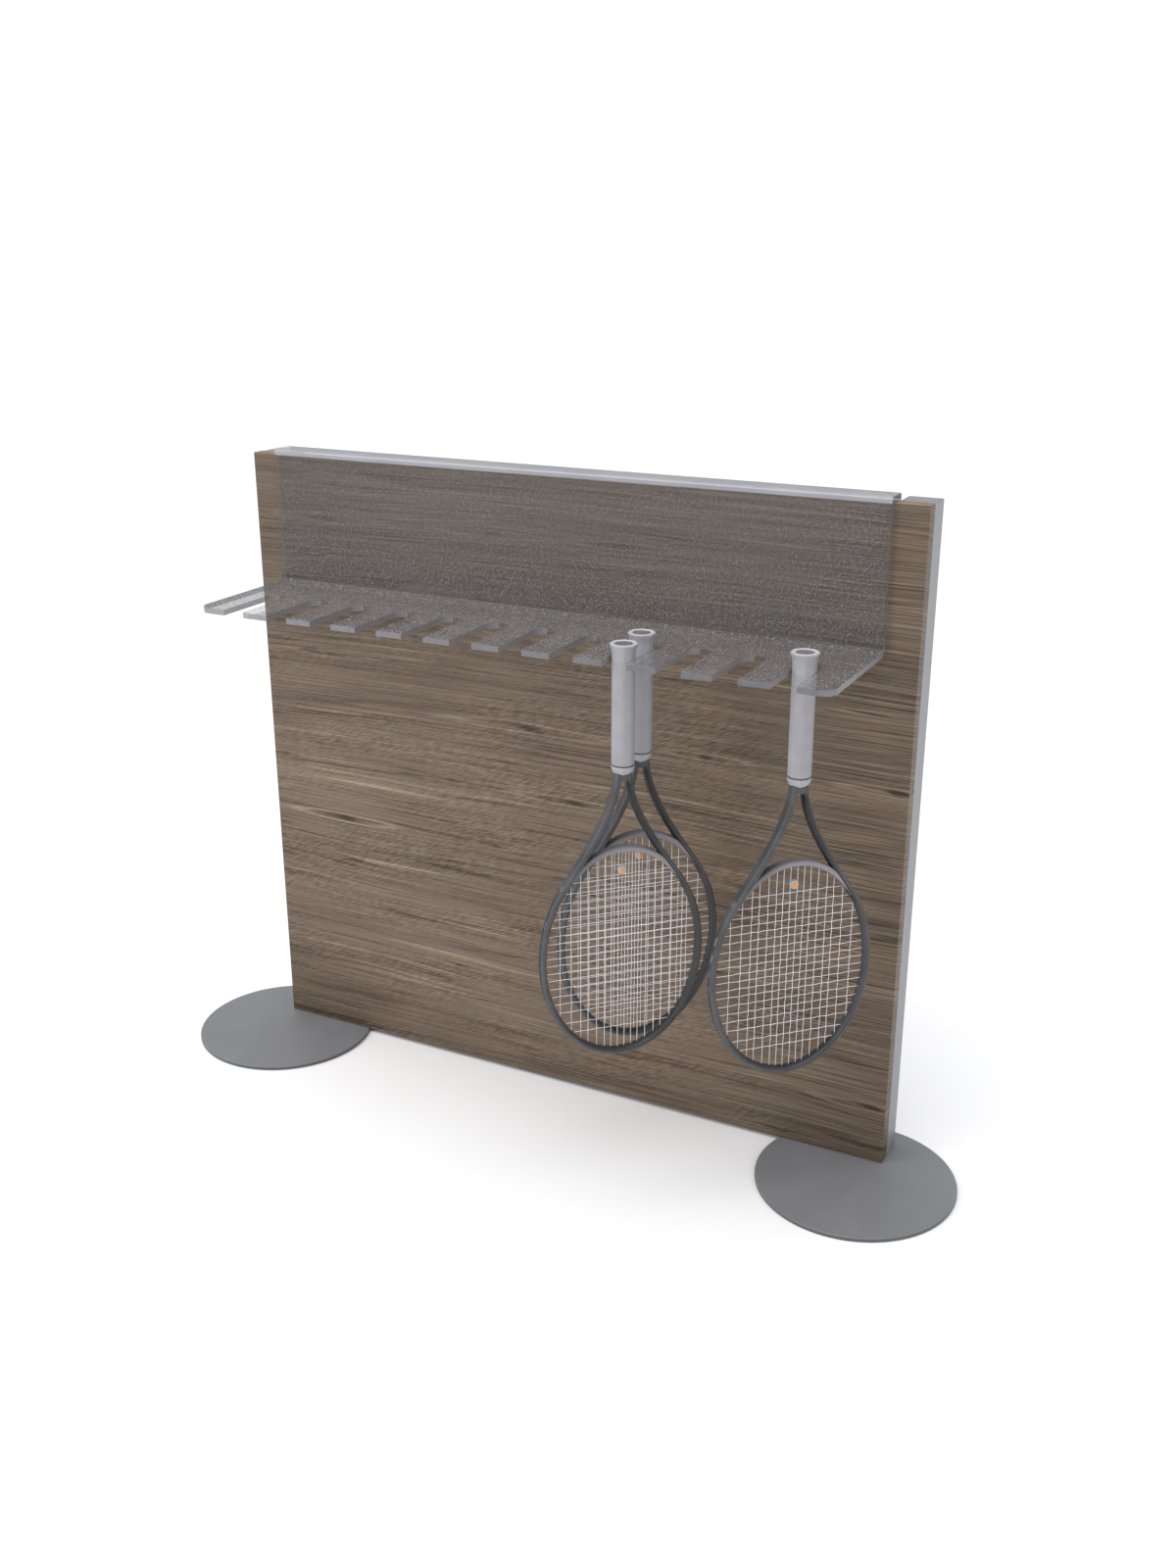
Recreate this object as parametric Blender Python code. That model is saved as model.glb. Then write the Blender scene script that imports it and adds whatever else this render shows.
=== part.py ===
"""Freestanding display stand for rackets: a laminate-faced panel on a grey box
frame, two round floor plates, a lift-off clear rack with thirteen fingers, and
three rackets hung in its slots by their butt caps.

Metres, +Z up, floor at z = 0, origin under the middle of the whole object.
+X runs along the panel, and -Y is the side that the shopper stands on.
"""

import math

import bmesh
import bpy
from mathutils import Vector

for old in list(bpy.data.objects):
    bpy.data.objects.remove(old, do_unlink=True)

MM = 0.001
GAP = 0.3 * MM

# ---- driving dimensions ------------------------------------------------------

BOARD_FRONT_Y = 101.3 * MM         # puts the origin under the middle of the object
PANEL_W = 1229.8 * MM
PANEL_H = 1117.6 * MM
BOARD_T = 25.4 * MM
PANEL_T = 76.2 * MM                # board and frame together
DISC_R = 167.5 * MM
DISC_T = 7.0 * MM
DISC_X = 586.8 * MM                # centre of each floor plate, left and right
DISC_FORWARD = 59.5 * MM           # its centre lies this far before the board's face

UPRIGHT_W = 54.3 * MM
WALL = 2.0 * MM
RAIL_H = 40.0 * MM
RAIL_DROP = 70.0 * MM              # the top rail lies this far below the panel's top
BACK_T = 2.0 * MM
BACK_INSET = 2.2 * MM

RACK_T = 10.0 * MM                 # thickness of the clear sheet
RACK_REACH = 244.0 * MM            # from the board's face to the finger tips
RACK_TOP = 893.6 * MM              # top of the shelf above the floor plates
FINGERS = 13
FINGER_W = 48.4 * MM
END_FINGER_W = 54.1 * MM           # the outermost finger on either side
SLOT_W = 40.0 * MM
SLOT_DEPTH = 131.1 * MM
CORNER_R = 22.0 * MM
LEG = 60.0 * MM                    # how far the hook reaches down behind the board
BEND_R = 5.0 * MM

TURN = math.radians(45.0)          # the rackets hang turned to the panel
# slot number counted from the left, distance before the board's face, and
# height of the butt cap's end above the shelf
RACKETS = {
    "racket_right": (12, 153.3 * MM, 26.4 * MM),
    "racket_front": (9, 209.0 * MM, 21.1 * MM),
    "racket_rear": (9, 145.8 * MM, 23.4 * MM),
}

HEAD_MID = 514.6 * MM              # widest place of the head, from the butt end
HEAD_A = 126.6 * MM                # inner half width
HEAD_TOP = 179.0 * MM              # inner half length towards the throat
HEAD_TIP = 167.8 * MM              # inner half length towards the tip
TIP_POWER = 2.0
TUBE_T, TUBE_B = 9.7 * MM, 19.0 * MM
LEG_T, LEG_B = 11.6 * MM, 20.0 * MM
LEG_END_T = 9.5 * MM               # where a leg enters the collar
STRING = 1.3 * MM
CLEAR_OF_HOOP = 1.6 * MM
# from the middle outwards: the half gap, then the gaps between the main strings
MAIN_GAPS = (5.7, 11.6, 11.0, 13.5, 14.6, 12.2, 16.0, 18.6)
# the first cross string, then the gaps towards the tip
CROSS_GAPS = (
    381.0, 17.0, 15.0, 13.5, 13.2, 13.3, 15.0, 13.0, 13.0, 13.0,
    12.7, 13.3, 13.0, 14.5, 14.5, 14.0, 16.0, 20.3, 17.7,
)
GRIP_FLATS = 35.2 * MM
PALLET_FLATS = 30.4 * MM
CAP_BELOW = 5.0 * MM               # the butt cap goes this far below the shelf's top
GRIP_TO = 191.6 * MM
COLLAR_TO = 205.0 * MM

# ---- derived places ----------------------------------------------------------

FACE = BOARD_FRONT_Y
BOTTOM = DISC_T + GAP
TOP = BOTTOM + PANEL_H
SHELF = DISC_T + RACK_TOP
PITCH = FINGER_W + SLOT_W
RACK_HALF = END_FINGER_W + ((FINGERS - 2) * FINGER_W + (FINGERS - 1) * SLOT_W) / 2
HALF_W = PANEL_W / 2
FRAME_Y0 = FACE + BOARD_T + GAP
FRAME_Y1 = FACE + PANEL_T
RAIL_Y1 = FRAME_Y1 - BACK_INSET - BACK_T - GAP
UPRIGHT_X = HALF_W - UPRIGHT_W


# ---- materials ---------------------------------------------------------------


def material(name, colour, rough, metal=0.0, alpha=1.0):
    made = bpy.data.materials.new(name)
    made.use_nodes = True
    shader = made.node_tree.nodes["Principled BSDF"]
    shader.inputs["Base Color"].default_value = (*colour, 1.0)
    shader.inputs["Roughness"].default_value = rough
    shader.inputs["Metallic"].default_value = metal
    shader.inputs["Alpha"].default_value = alpha
    made.diffuse_color = (*colour, alpha)
    return made


WOOD = material("laminate", (0.19, 0.15, 0.11), 0.55)
GREY = material("painted_steel", (0.26, 0.28, 0.30), 0.45)
DISC = material("floor_plate_paint", (0.22, 0.23, 0.235), 0.40)
CLEAR = material("frosted_acrylic", (0.62, 0.62, 0.68), 0.35, 0.0, 0.45)
ZINC = material("zinc_screw", (0.60, 0.61, 0.62), 0.30, 1.0)
CARBON = material("racket_paint", (0.09, 0.095, 0.10), 0.38)
GUARD = material("bumper_plastic", (0.05, 0.055, 0.06), 0.55)
STRINGS = material("string_white", (0.80, 0.79, 0.80), 0.35)
GRIP = material("grip_light", (0.45, 0.45, 0.48), 0.70)
CAP = material("cap_light", (0.58, 0.58, 0.60), 0.45)
FOAM = material("pallet_foam", (0.16, 0.15, 0.14), 0.85)
COLLAR = material("collar_white", (0.70, 0.70, 0.72), 0.60)
RUBBER = material("dampener_rubber", (0.75, 0.30, 0.06), 0.55)


# ---- mesh helpers ------------------------------------------------------------


def add(name, bm, mat=None, smooth=None, parent=None):
    bmesh.ops.recalc_face_normals(bm, faces=bm.faces)
    mesh = bpy.data.meshes.new(name)
    bm.to_mesh(mesh)
    bm.free()
    if mat:
        mesh.materials.append(mat)
    if smooth:
        mesh.shade_smooth()
        mesh.set_sharp_from_angle(angle=math.radians(smooth))
    obj = bpy.data.objects.new(name, mesh)
    bpy.context.scene.collection.objects.link(obj)
    if parent:
        obj.parent = parent
    return obj


def ring_solid(rings, bm=None, close=False):
    """Skins a list of equal point rings, and caps both ends unless it closes on itself."""
    bm = bm or bmesh.new()
    rows = [[bm.verts.new(p) for p in ring] for ring in rings]
    n = len(rows[0])
    pairs = list(zip(rows, rows[1:]))
    if close:
        pairs.append((rows[-1], rows[0]))
    for a, b in pairs:
        for i in range(n):
            j = (i + 1) % n
            bm.faces.new((a[i], a[j], b[j], b[i]))
    if not close:
        bm.faces.new(rows[0][::-1])
        bm.faces.new(rows[-1])
    return bm


def box_points(x0, x1, y0, y1, z0, z1):
    return [
        [(x0, y0, z0), (x1, y0, z0), (x1, y1, z0), (x0, y1, z0)],
        [(x0, y0, z1), (x1, y0, z1), (x1, y1, z1), (x0, y1, z1)],
    ]


def box(name, x0, x1, y0, y1, z0, z1, mat, bevel=0.0, parent=None):
    obj = add(name, ring_solid(box_points(x0, x1, y0, y1, z0, z1)), mat, None, parent)
    if bevel:
        edge = obj.modifiers.new("edges", "BEVEL")
        edge.width = bevel
        edge.segments = 1
        edge.limit_method = "ANGLE"
    return obj


def cylinder_rings(centre, axis, radii, along, sides, turn=0.0):
    """Rings around an axis through centre: radii[i] at distance along[i]."""
    axis = Vector(axis).normalized()
    side = axis.orthogonal().normalized()
    other = axis.cross(side)
    rings = []
    for r, d in zip(radii, along):
        ring = []
        for i in range(sides):
            a = 2 * math.pi * (i + turn) / sides
            ring.append(
                Vector(centre) + axis * d + (side * math.cos(a) + other * math.sin(a)) * r
            )
        rings.append(ring)
    return rings


def cutter(name, ring_sets):
    """One hidden mesh of separate closed shapes that a Boolean takes away."""
    bm = bmesh.new()
    for rings in ring_sets:
        ring_solid(rings, bm)
    obj = add(name, bm)
    obj.hide_render = True
    obj.display_type = "WIRE"
    return obj


def cut(obj, tool, operation="DIFFERENCE"):
    change = obj.modifiers.new(operation.lower(), "BOOLEAN")
    change.operation = operation
    change.solver = "EXACT"
    change.object = tool
    return obj


def apply_all(obj):
    """Keeps what the modifiers make as the mesh itself."""
    bpy.context.view_layer.update()
    graph = bpy.context.evaluated_depsgraph_get()
    made = bpy.data.meshes.new_from_object(obj.evaluated_get(graph))
    obj.modifiers.clear()
    obj.data = made
    return obj


def arc(cy, cz, r, a0, a1, steps):
    return [
        (
            cy + r * math.cos(math.radians(a0 + (a1 - a0) * i / steps)),
            cz + r * math.sin(math.radians(a0 + (a1 - a0) * i / steps)),
        )
        for i in range(steps + 1)
    ]


# ---- floor plates ------------------------------------------------------------

DISC_Y = FACE - DISC_FORWARD
BASE_SCREWS = []
for side in (-1, 1):
    for dx in (492.0, 540.0):
        for dy in (37.0, 60.0):
            BASE_SCREWS.append((side, side * dx * MM, FACE + dy * MM))

for label, side in (("left", -1), ("right", 1)):
    disc = add(
        f"base_plate_{label}",
        ring_solid(
            cylinder_rings(
                (side * DISC_X, DISC_Y, 0),
                (0, 0, 1),
                [DISC_R - 0.6 * MM, DISC_R, DISC_R, DISC_R - 0.9 * MM],
                [0, 0.6 * MM, DISC_T - 0.9 * MM, DISC_T],
                96,
            )
        ),
        DISC,
        40,
    )
    holes = [
        cylinder_rings(
            (x, y, 0),
            (0, 0, 1),
            [6.9 * MM, 6.9 * MM, 3.5 * MM, 3.5 * MM],
            [-1 * MM, 0.6 * MM, 4.0 * MM, DISC_T + 1 * MM],
            8,
        )
        for s, x, y in BASE_SCREWS
        if s == side
    ]
    cut(disc, cutter(f"cut_base_{label}", holes))

for i, (side, x, y) in enumerate(BASE_SCREWS, 1):
    add(
        f"base_screw_{i}",
        ring_solid(
            cylinder_rings(
                (x, y, 0),
                (0, 0, 1),
                [6.4 * MM, 6.4 * MM, 3.0 * MM, 3.0 * MM],
                [0.3 * MM, 0.7 * MM, 4.1 * MM, 20.0 * MM],
                8,
            )
        ),
        ZINC,
        40,
    )

# ---- panel: face board, box frame, back sheet --------------------------------

RAILS = {
    "frame_top_rail": TOP - RAIL_DROP - RAIL_H,
    "frame_mid_rail": 540.0 * MM,
    "frame_bottom_rail": BOTTOM,
}
BOARD_SCREWS = [
    (x, z + RAIL_H / 2) for z in RAILS.values() for x in (-330.0 * MM, 330.0 * MM)
]
BACK_SCREWS = [
    (x * MM, RAILS[rail] + RAIL_H / 2)
    for rail, xs in (
        ("frame_top_rail", (-520.0, 0.0, 520.0)),
        ("frame_mid_rail", (-520.0, 520.0)),
        ("frame_bottom_rail", (-520.0, 0.0, 520.0)),
    )
    for x in xs
]

board = box(
    "face_board", -HALF_W, HALF_W, FACE, FACE + BOARD_T, BOTTOM, TOP, WOOD, 1.0 * MM
)
cut(
    board,
    cutter(
        "cut_board",
        [
            cylinder_rings(
                (x, FACE + BOARD_T - 19.5 * MM, z), (0, 1, 0), [2.5 * MM] * 2, [0, 21 * MM], 8
            )
            for x, z in BOARD_SCREWS
        ],
    ),
)

# an upright is a box tube, closed at the top and open underneath
for label, side in (("left", -1), ("right", 1)):
    xa, xb = sorted((side * HALF_W, side * UPRIGHT_X))
    upright = box(
        f"frame_upright_{label}", xa, xb, FRAME_Y0, FRAME_Y1, BOTTOM, TOP - 0.8 * MM, GREY, 1.2 * MM
    )
    cut(
        upright,
        cutter(
            f"cut_upright_{label}",
            [
                box_points(
                    xa + WALL,
                    xb - WALL,
                    FRAME_Y0 + WALL,
                    FRAME_Y1 - WALL,
                    BOTTOM - 5 * MM,
                    TOP - 0.8 * MM - WALL,
                )
            ],
        ),
    )

# a rail is a box tube, open at both ends, with holes for the screws
RAIL_X = UPRIGHT_X - GAP
for name, z0 in RAILS.items():
    z1 = z0 + RAIL_H
    inner = [
        [(x, FRAME_Y0 + WALL, z0 + WALL), (x, RAIL_Y1 - WALL, z0 + WALL),
         (x, RAIL_Y1 - WALL, z1 - WALL), (x, FRAME_Y0 + WALL, z1 - WALL)]
        for x in (-RAIL_X, RAIL_X)
    ]
    outer = [
        [(x, FRAME_Y0, z0), (x, RAIL_Y1, z0), (x, RAIL_Y1, z1), (x, FRAME_Y0, z1)]
        for x in (-RAIL_X, RAIL_X)
    ]
    bm = bmesh.new()
    o = [[bm.verts.new(p) for p in ring] for ring in outer]
    n = [[bm.verts.new(p) for p in ring] for ring in inner]
    for i in range(4):
        j = (i + 1) % 4
        bm.faces.new((o[0][i], o[0][j], o[1][j], o[1][i]))
        bm.faces.new((n[0][j], n[0][i], n[1][i], n[1][j]))
        bm.faces.new((o[0][j], o[0][i], n[0][i], n[0][j]))
        bm.faces.new((o[1][i], o[1][j], n[1][j], n[1][i]))
    rail = add(name, bm, GREY)
    holes = []
    for x, z in BOARD_SCREWS:
        if z0 < z < z1:
            holes.append(
                cylinder_rings((x, FRAME_Y0 - 1 * MM, z), (0, 1, 0), [2.7 * MM] * 2, [0, WALL + 2 * MM], 8)
            )
            holes.append(
                cylinder_rings((x, RAIL_Y1 - WALL - 1 * MM, z), (0, 1, 0), [7.0 * MM] * 2, [0, WALL + 2 * MM], 10)
            )
    for x, z in BACK_SCREWS:
        if z0 < z < z1:
            holes.append(
                cylinder_rings((x, RAIL_Y1 - WALL - 1 * MM, z), (0, 1, 0), [2.6 * MM] * 2, [0, WALL + 2 * MM], 8)
            )
    if name == "frame_bottom_rail":
        for s, x, y in BASE_SCREWS:
            holes.append(
                cylinder_rings((x, y, z0 - 1 * MM), (0, 0, 1), [3.4 * MM] * 2, [0, WALL + 2 * MM], 8)
            )
    cut(rail, cutter("cut_" + name, holes))

for i, (x, z) in enumerate(BOARD_SCREWS, 1):
    y = FRAME_Y0 + WALL
    add(
        f"board_screw_{i}",
        ring_solid(
            cylinder_rings(
                (x, y, z),
                (0, -1, 0),
                [4.4 * MM, 4.4 * MM, 2.05 * MM, 0.9 * MM],
                [-2.4 * MM, -0.3 * MM, -0.29 * MM, 19.0 * MM],
                8,
            )
        ),
        ZINC,
        40,
    )

back_y0 = RAIL_Y1 + GAP
back = box(
    "back_sheet",
    -UPRIGHT_X + 0.5 * MM,
    UPRIGHT_X - 0.5 * MM,
    back_y0,
    back_y0 + BACK_T,
    BOTTOM + 1.0 * MM,
    TOP - RAIL_DROP,
    GREY,
)
cut(
    back,
    cutter(
        "cut_back",
        [
            cylinder_rings((x, back_y0 - 1 * MM, z), (0, 1, 0), [2.7 * MM] * 2, [0, BACK_T + 2 * MM], 8)
            for x, z in BACK_SCREWS
        ],
    ),
)
for i, (x, z) in enumerate(BACK_SCREWS, 1):
    y = back_y0 + BACK_T
    add(
        f"back_screw_{i}",
        ring_solid(
            cylinder_rings(
                (x, y, z),
                (0, 1, 0),
                [1.2 * MM, 2.05 * MM, 4.0 * MM, 4.0 * MM, 2.8 * MM],
                [-14.0 * MM, 0.29 * MM, 0.3 * MM, 1.2 * MM, 2.0 * MM],
                8,
            )
        ),
        ZINC,
        40,
    )

# ---- clear rack: one bent sheet, cut into fingers ----------------------------

front = FACE - RACK_REACH
plate0 = FACE - GAP - RACK_T       # shopper's side of the upright part
plate1 = FACE - GAP                # side towards the board
over0 = TOP + GAP                  # underside of the hook
over1 = over0 + RACK_T
leg0 = FACE + BOARD_T + GAP
leg1 = leg0 + RACK_T
leg_z = TOP - LEG
small = 0.8 * MM
outside = [(front + 0.6 * MM, SHELF), (front, SHELF - 0.6 * MM)]
profile = (
    [(front, SHELF - RACK_T + 0.6 * MM), (front + 0.6 * MM, SHELF - RACK_T)]
    + arc(plate1 - BEND_R - RACK_T, SHELF + BEND_R, BEND_R + RACK_T, -90, 0, 8)
    + [(plate1, over0 - small), (plate1 + small, over0)]
    + [(leg0 - small, over0), (leg0, over0 - small)]
    + [(leg0, leg_z + 0.6 * MM), (leg0 + 0.6 * MM, leg_z)]
    + [(leg1 - 0.6 * MM, leg_z), (leg1, leg_z + 0.6 * MM)]
    + arc(leg1 - 4 * MM, over1 - 4 * MM, 4 * MM, 0, 90, 4)
    + arc(plate0 + 4 * MM, over1 - 4 * MM, 4 * MM, 90, 180, 4)
    + arc(plate0 - BEND_R, SHELF + BEND_R, BEND_R, 0, -90, 6)
    + outside
)
rack = add(
    "display_rack",
    ring_solid([[(x, y, z) for y, z in profile] for x in (-RACK_HALF, RACK_HALF)]),
    CLEAR,
    30,
)


def slot_outline(cx):
    r = SLOT_W / 2
    end = front + SLOT_DEPTH - r
    points = [(cx - r, front - 5 * MM), (cx + r, front - 5 * MM)]
    points += [
        (cx + r * math.cos(math.pi * i / 14), end + r * math.sin(math.pi * i / 14))
        for i in range(15)
    ]
    return points


def corner_outline(side):
    """What is cut away to round an outer front corner."""
    cx, cy = side * (RACK_HALF - CORNER_R), front + CORNER_R
    turns = [
        (cx + side * CORNER_R * math.sin(a), cy - CORNER_R * math.cos(a))
        for a in (math.pi / 2 * i / 8 for i in range(9))
    ]
    far = RACK_HALF + 5 * MM
    return turns + [(side * far, cy), (side * far, front - 5 * MM), (turns[0][0], front - 5 * MM)]


def slab(outline, z0, z1):
    return [[(x, y, z) for x, y in outline] for z in (z0, z1)]


slots = [PITCH * (i - (FINGERS - 2) / 2) for i in range(FINGERS - 1)]
cut(
    rack,
    cutter(
        "cut_slots",
        [slab(slot_outline(x), SHELF - RACK_T - 5 * MM, SHELF + 5 * MM) for x in slots]
        + [slab(corner_outline(s), SHELF - RACK_T - 5 * MM, SHELF + 5 * MM) for s in (-1, 1)],
    ),
)

# ---- rackets -----------------------------------------------------------------
# Local frame: origin at the middle of the butt end, +X across the face, +Y
# through it, and -Z towards the tip. v is the distance from the butt end.


def egg(angle, grow=0.0):
    """Head outline. 0 is the tip, +-90 degrees the widest places, 180 the throat."""
    s, c = math.sin(angle), math.cos(angle)
    a = HEAD_A + grow
    if c >= 0:
        b, power = HEAD_TIP + grow, TIP_POWER
    else:
        b, power = HEAD_TOP + grow, 2.0
    u = a * math.copysign(abs(s) ** (2 / power), s)
    v = HEAD_MID + b * math.copysign(abs(c) ** (2 / power), c)
    return Vector((u, v))


def head_half_width(v):
    d = v - HEAD_MID
    b, power = (HEAD_TIP, TIP_POWER) if d >= 0 else (HEAD_TOP, 2.0)
    return HEAD_A * max(0.0, 1 - (abs(d) / b) ** power) ** (1 / power)


def head_v(u, towards_tip):
    b, power = (HEAD_TIP, TIP_POWER) if towards_tip else (HEAD_TOP, 2.0)
    reach = b * max(0.0, 1 - (abs(u) / HEAD_A) ** power) ** (1 / power)
    return HEAD_MID + reach if towards_tip else HEAD_MID - reach


def egg_angle_at(v, grow):
    """Angle on the throat side at which the outline, grown so much, passes v."""
    return math.pi - math.acos((HEAD_MID - v) / (HEAD_TOP + grow))


def sweep(path, size, bm=None):
    """Lofts a chamfered box section along a flat path of (u, v) points."""
    rings = []
    for i, point in enumerate(path):
        before = path[max(i - 1, 0)]
        after = path[min(i + 1, len(path) - 1)]
        run = (after - before).normalized()
        out = Vector((run.y, -run.x))
        t, b = size(point)
        section = [
            (t / 2, -b * 0.30), (t / 2, b * 0.30), (t * 0.27, b / 2), (-t * 0.16, b / 2),
            (-t / 2, b * 0.22), (-t / 2, -b * 0.22), (-t * 0.16, -b / 2), (t * 0.27, -b / 2),
        ]
        rings.append(
            [(point.x + out.x * s, y, -(point.y + out.y * s)) for s, y in section]
        )
    return ring_solid(rings, bm)


def bezier(p0, p1, p2, p3, steps):
    points = []
    for i in range(steps + 1):
        t = i / steps
        points.append(
            p0 * (1 - t) ** 3 + p1 * 3 * t * (1 - t) ** 2 + p2 * 3 * t * t * (1 - t) + p3 * t**3
        )
    return points


GROW = TUBE_T / 2
JOIN_V = 404.6 * MM


def frame_path():
    start = egg_angle_at(JOIN_V, GROW)
    hoop = [egg(start - 2 * start * i / 54, GROW) for i in range(55)]
    join = hoop[0]
    leg = bezier(
        join,
        Vector((85.4 * MM, 370 * MM)),
        Vector((8.4 * MM, 276.7 * MM)),
        Vector((8.4 * MM, 206 * MM)),
        14,
    )
    left = [Vector((-p.x, p.y)) for p in leg]
    return leg[::-1][:-1] + hoop + left[1:]


def frame_size(point):
    share = min(1.0, max(0.0, (JOIN_V + 25 * MM - point.y) / (110 * MM)))
    slim = min(1.0, max(0.0, (262 * MM - point.y) / (46 * MM)))
    t = TUBE_T + (LEG_T - TUBE_T) * share - (LEG_T - LEG_END_T) * slim
    return t, TUBE_B + (LEG_B - TUBE_B) * share


def make_frame():
    """Hoop and both legs in one tube, with the throat bridge and the tang moulded in."""
    body = add("frame_body", sweep(frame_path(), frame_size))
    ends = egg_angle_at(392 * MM, GROW)
    arch = [
        egg(ends + (2 * math.pi - 2 * ends) * i / 16, GROW) for i in range(17)
    ]
    bridge = add("frame_bridge", sweep(arch, lambda p: (9.4 * MM, 17.0 * MM)))
    filler = box("frame_filler", -11 * MM, 11 * MM, -8.8 * MM, 8.8 * MM, -216.5 * MM, -205.4 * MM, None)
    tang = box("frame_tang", -8 * MM, 8 * MM, -6.6 * MM, 6.6 * MM, -212 * MM, -64 * MM, None)
    for other in (bridge, filler, tang):
        cut(body, other, "UNION")
    apply_all(body)
    mesh = body.data
    for obj in (body, bridge, filler, tang):
        bpy.data.objects.remove(obj, do_unlink=True)
    return mesh


def make_guard():
    """Bumper strip with the grommets' flange, along the outside of the hoop."""
    start = math.radians(118)
    rings = []
    steps = 48
    for i in range(steps + 1):
        a = start - 2 * start * i / steps
        at = egg(a, TUBE_T)
        near = egg(a + 0.01, TUBE_T)
        run = (near - at).normalized()
        out = Vector((-run.y, run.x))
        mid = egg(0, 0)
        if (at + out * MM - Vector((0, HEAD_MID))).length < (at - Vector((0, HEAD_MID))).length:
            out = -out
        lo, hi = 0.35 * MM, 1.6 * MM
        half = 4.3 * MM
        rings.append(
            [
                (at.x + out.x * s, y, -(at.y + out.y * s))
                for s, y in ((lo, -half), (hi, -half * 0.7), (hi, half * 0.7), (lo, half))
            ]
        )
    return ring_solid(rings)


def running_sum(gaps):
    places = []
    for g in gaps:
        places.append((places[-1] if places else 0.0) + g * MM)
    return places


HALF_MAINS = running_sum(MAIN_GAPS)
MAIN_U = [-u for u in reversed(HALF_MAINS)] + HALF_MAINS
CROSS_V = running_sum(CROSS_GAPS)


def serpentine(runs, depth):
    """One string laid back and forth: a square bar with mitred turns."""
    path = []
    for i, (a, b) in enumerate(runs):
        path += [a, b] if i % 2 == 0 else [b, a]
    rings = []
    h = STRING / 2
    for i, p in enumerate(path):
        into = (p - path[i - 1]).normalized() if i else (path[1] - p).normalized()
        away = (path[i + 1] - p).normalized() if i + 1 < len(path) else into
        side_in = Vector((-into.y, into.x))
        side_out = Vector((-away.y, away.x))
        mitre = (side_in + side_out).normalized()
        reach = h / max(0.35, mitre.dot(side_in))
        rings.append(
            [
                (p.x + mitre.x * s * reach, depth + y, -(p.y + mitre.y * s * reach))
                for s, y in ((-1, -h), (1, -h), (1, h), (-1, h))
            ]
        )
    return ring_solid(rings)


def make_mains():
    runs = []
    for u in MAIN_U:
        wide = abs(u) + STRING
        top, tip = head_v(wide, False) + CLEAR_OF_HOOP, head_v(wide, True) - CLEAR_OF_HOOP
        runs.append((Vector((u, top)), Vector((u, tip))))
    return serpentine(runs, -0.85 * MM)


def make_crosses():
    runs = []
    for v in CROSS_V:
        w = min(head_half_width(v - STRING), head_half_width(v + STRING)) - CLEAR_OF_HOOP
        runs.append((Vector((-w, v)), Vector((w, v))))
    return serpentine(runs, 0.85 * MM)


def octagon(flats, corner=0.16):
    """A regular octagon across its flats, with each corner cut off."""
    points = []
    r = flats / 2
    half = r * math.tan(math.pi / 8)
    for k in range(8):
        a = math.pi / 4 * k
        n = Vector((math.cos(a), math.sin(a)))
        t = Vector((-n.y, n.x))
        for s in (-1, 1):
            points.append(n * r + t * half * s * (1 - corner))
    return points


def octagon_rings(sizes):
    return [[(p.x, p.y, -v) for p in octagon(flats)] for v, flats in sizes]


def tube_between(outer, inner, bm=None):
    """A sleeve: two stacks of equal rings joined at both ends."""
    bm = bm or bmesh.new()
    o = [[bm.verts.new(p) for p in ring] for ring in outer]
    n = [[bm.verts.new(p) for p in ring] for ring in inner]
    m = len(o[0])
    for rows, flip in ((o, False), (n, True)):
        for a, b in zip(rows, rows[1:]):
            for i in range(m):
                j = (i + 1) % m
                quad = (a[i], a[j], b[j], b[i])
                bm.faces.new(quad[::-1] if flip else quad)
    for a, b, flip in ((o[0], n[0], True), (o[-1], n[-1], False)):
        for i in range(m):
            j = (i + 1) % m
            quad = (a[i], a[j], b[j], b[i])
            bm.faces.new(quad[::-1] if flip else quad)
    return bm


def rect_ring(hx, hy, v):
    """A rectangle with as many points as an octagon ring, in the same order."""
    corners = [(1, -0.4), (1, 0.4), (1, 1), (0.7, 1)]
    ring = []
    for flip in (1, -1):
        ring += [(flip * a * hx, flip * b * hy, -v) for a, b in corners]
        ring += [
            (flip * a * hx, flip * b * hy, -v) for a, b in ((0.4, 1), (-0.4, 1), (-1, 1), (-1, 0.7))
        ]
    return ring


def make_pallet():
    """Moulded handle: an octagonal block with a pocket for the frame's tang."""
    end = GRIP_TO - 0.4 * MM
    outer = octagon_rings([(5.0 * MM, PALLET_FLATS), (end, PALLET_FLATS)])
    bm = bmesh.new()
    o = [[bm.verts.new(p) for p in ring] for ring in outer]
    pocket = [
        [bm.verts.new(p) for p in rect_ring(8.4 * MM, 7.0 * MM, v)] for v in (62.0 * MM, end)
    ]
    m = len(o[0])
    bm.faces.new(o[0][::-1])
    for i in range(m):
        j = (i + 1) % m
        bm.faces.new((o[0][i], o[0][j], o[1][j], o[1][i]))
        bm.faces.new((pocket[0][j], pocket[0][i], pocket[1][i], pocket[1][j]))
        bm.faces.new((o[1][i], o[1][j], pocket[1][j], pocket[1][i]))
    bm.faces.new(pocket[0])
    return bm


def make_grip(seat):
    start = seat + CAP_BELOW + GAP
    return tube_between(
        octagon_rings([(start, GRIP_FLATS), (GRIP_TO, GRIP_FLATS)]),
        octagon_rings([(start, PALLET_FLATS + 0.6 * MM), (GRIP_TO, PALLET_FLATS + 0.6 * MM)]),
    )


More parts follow.
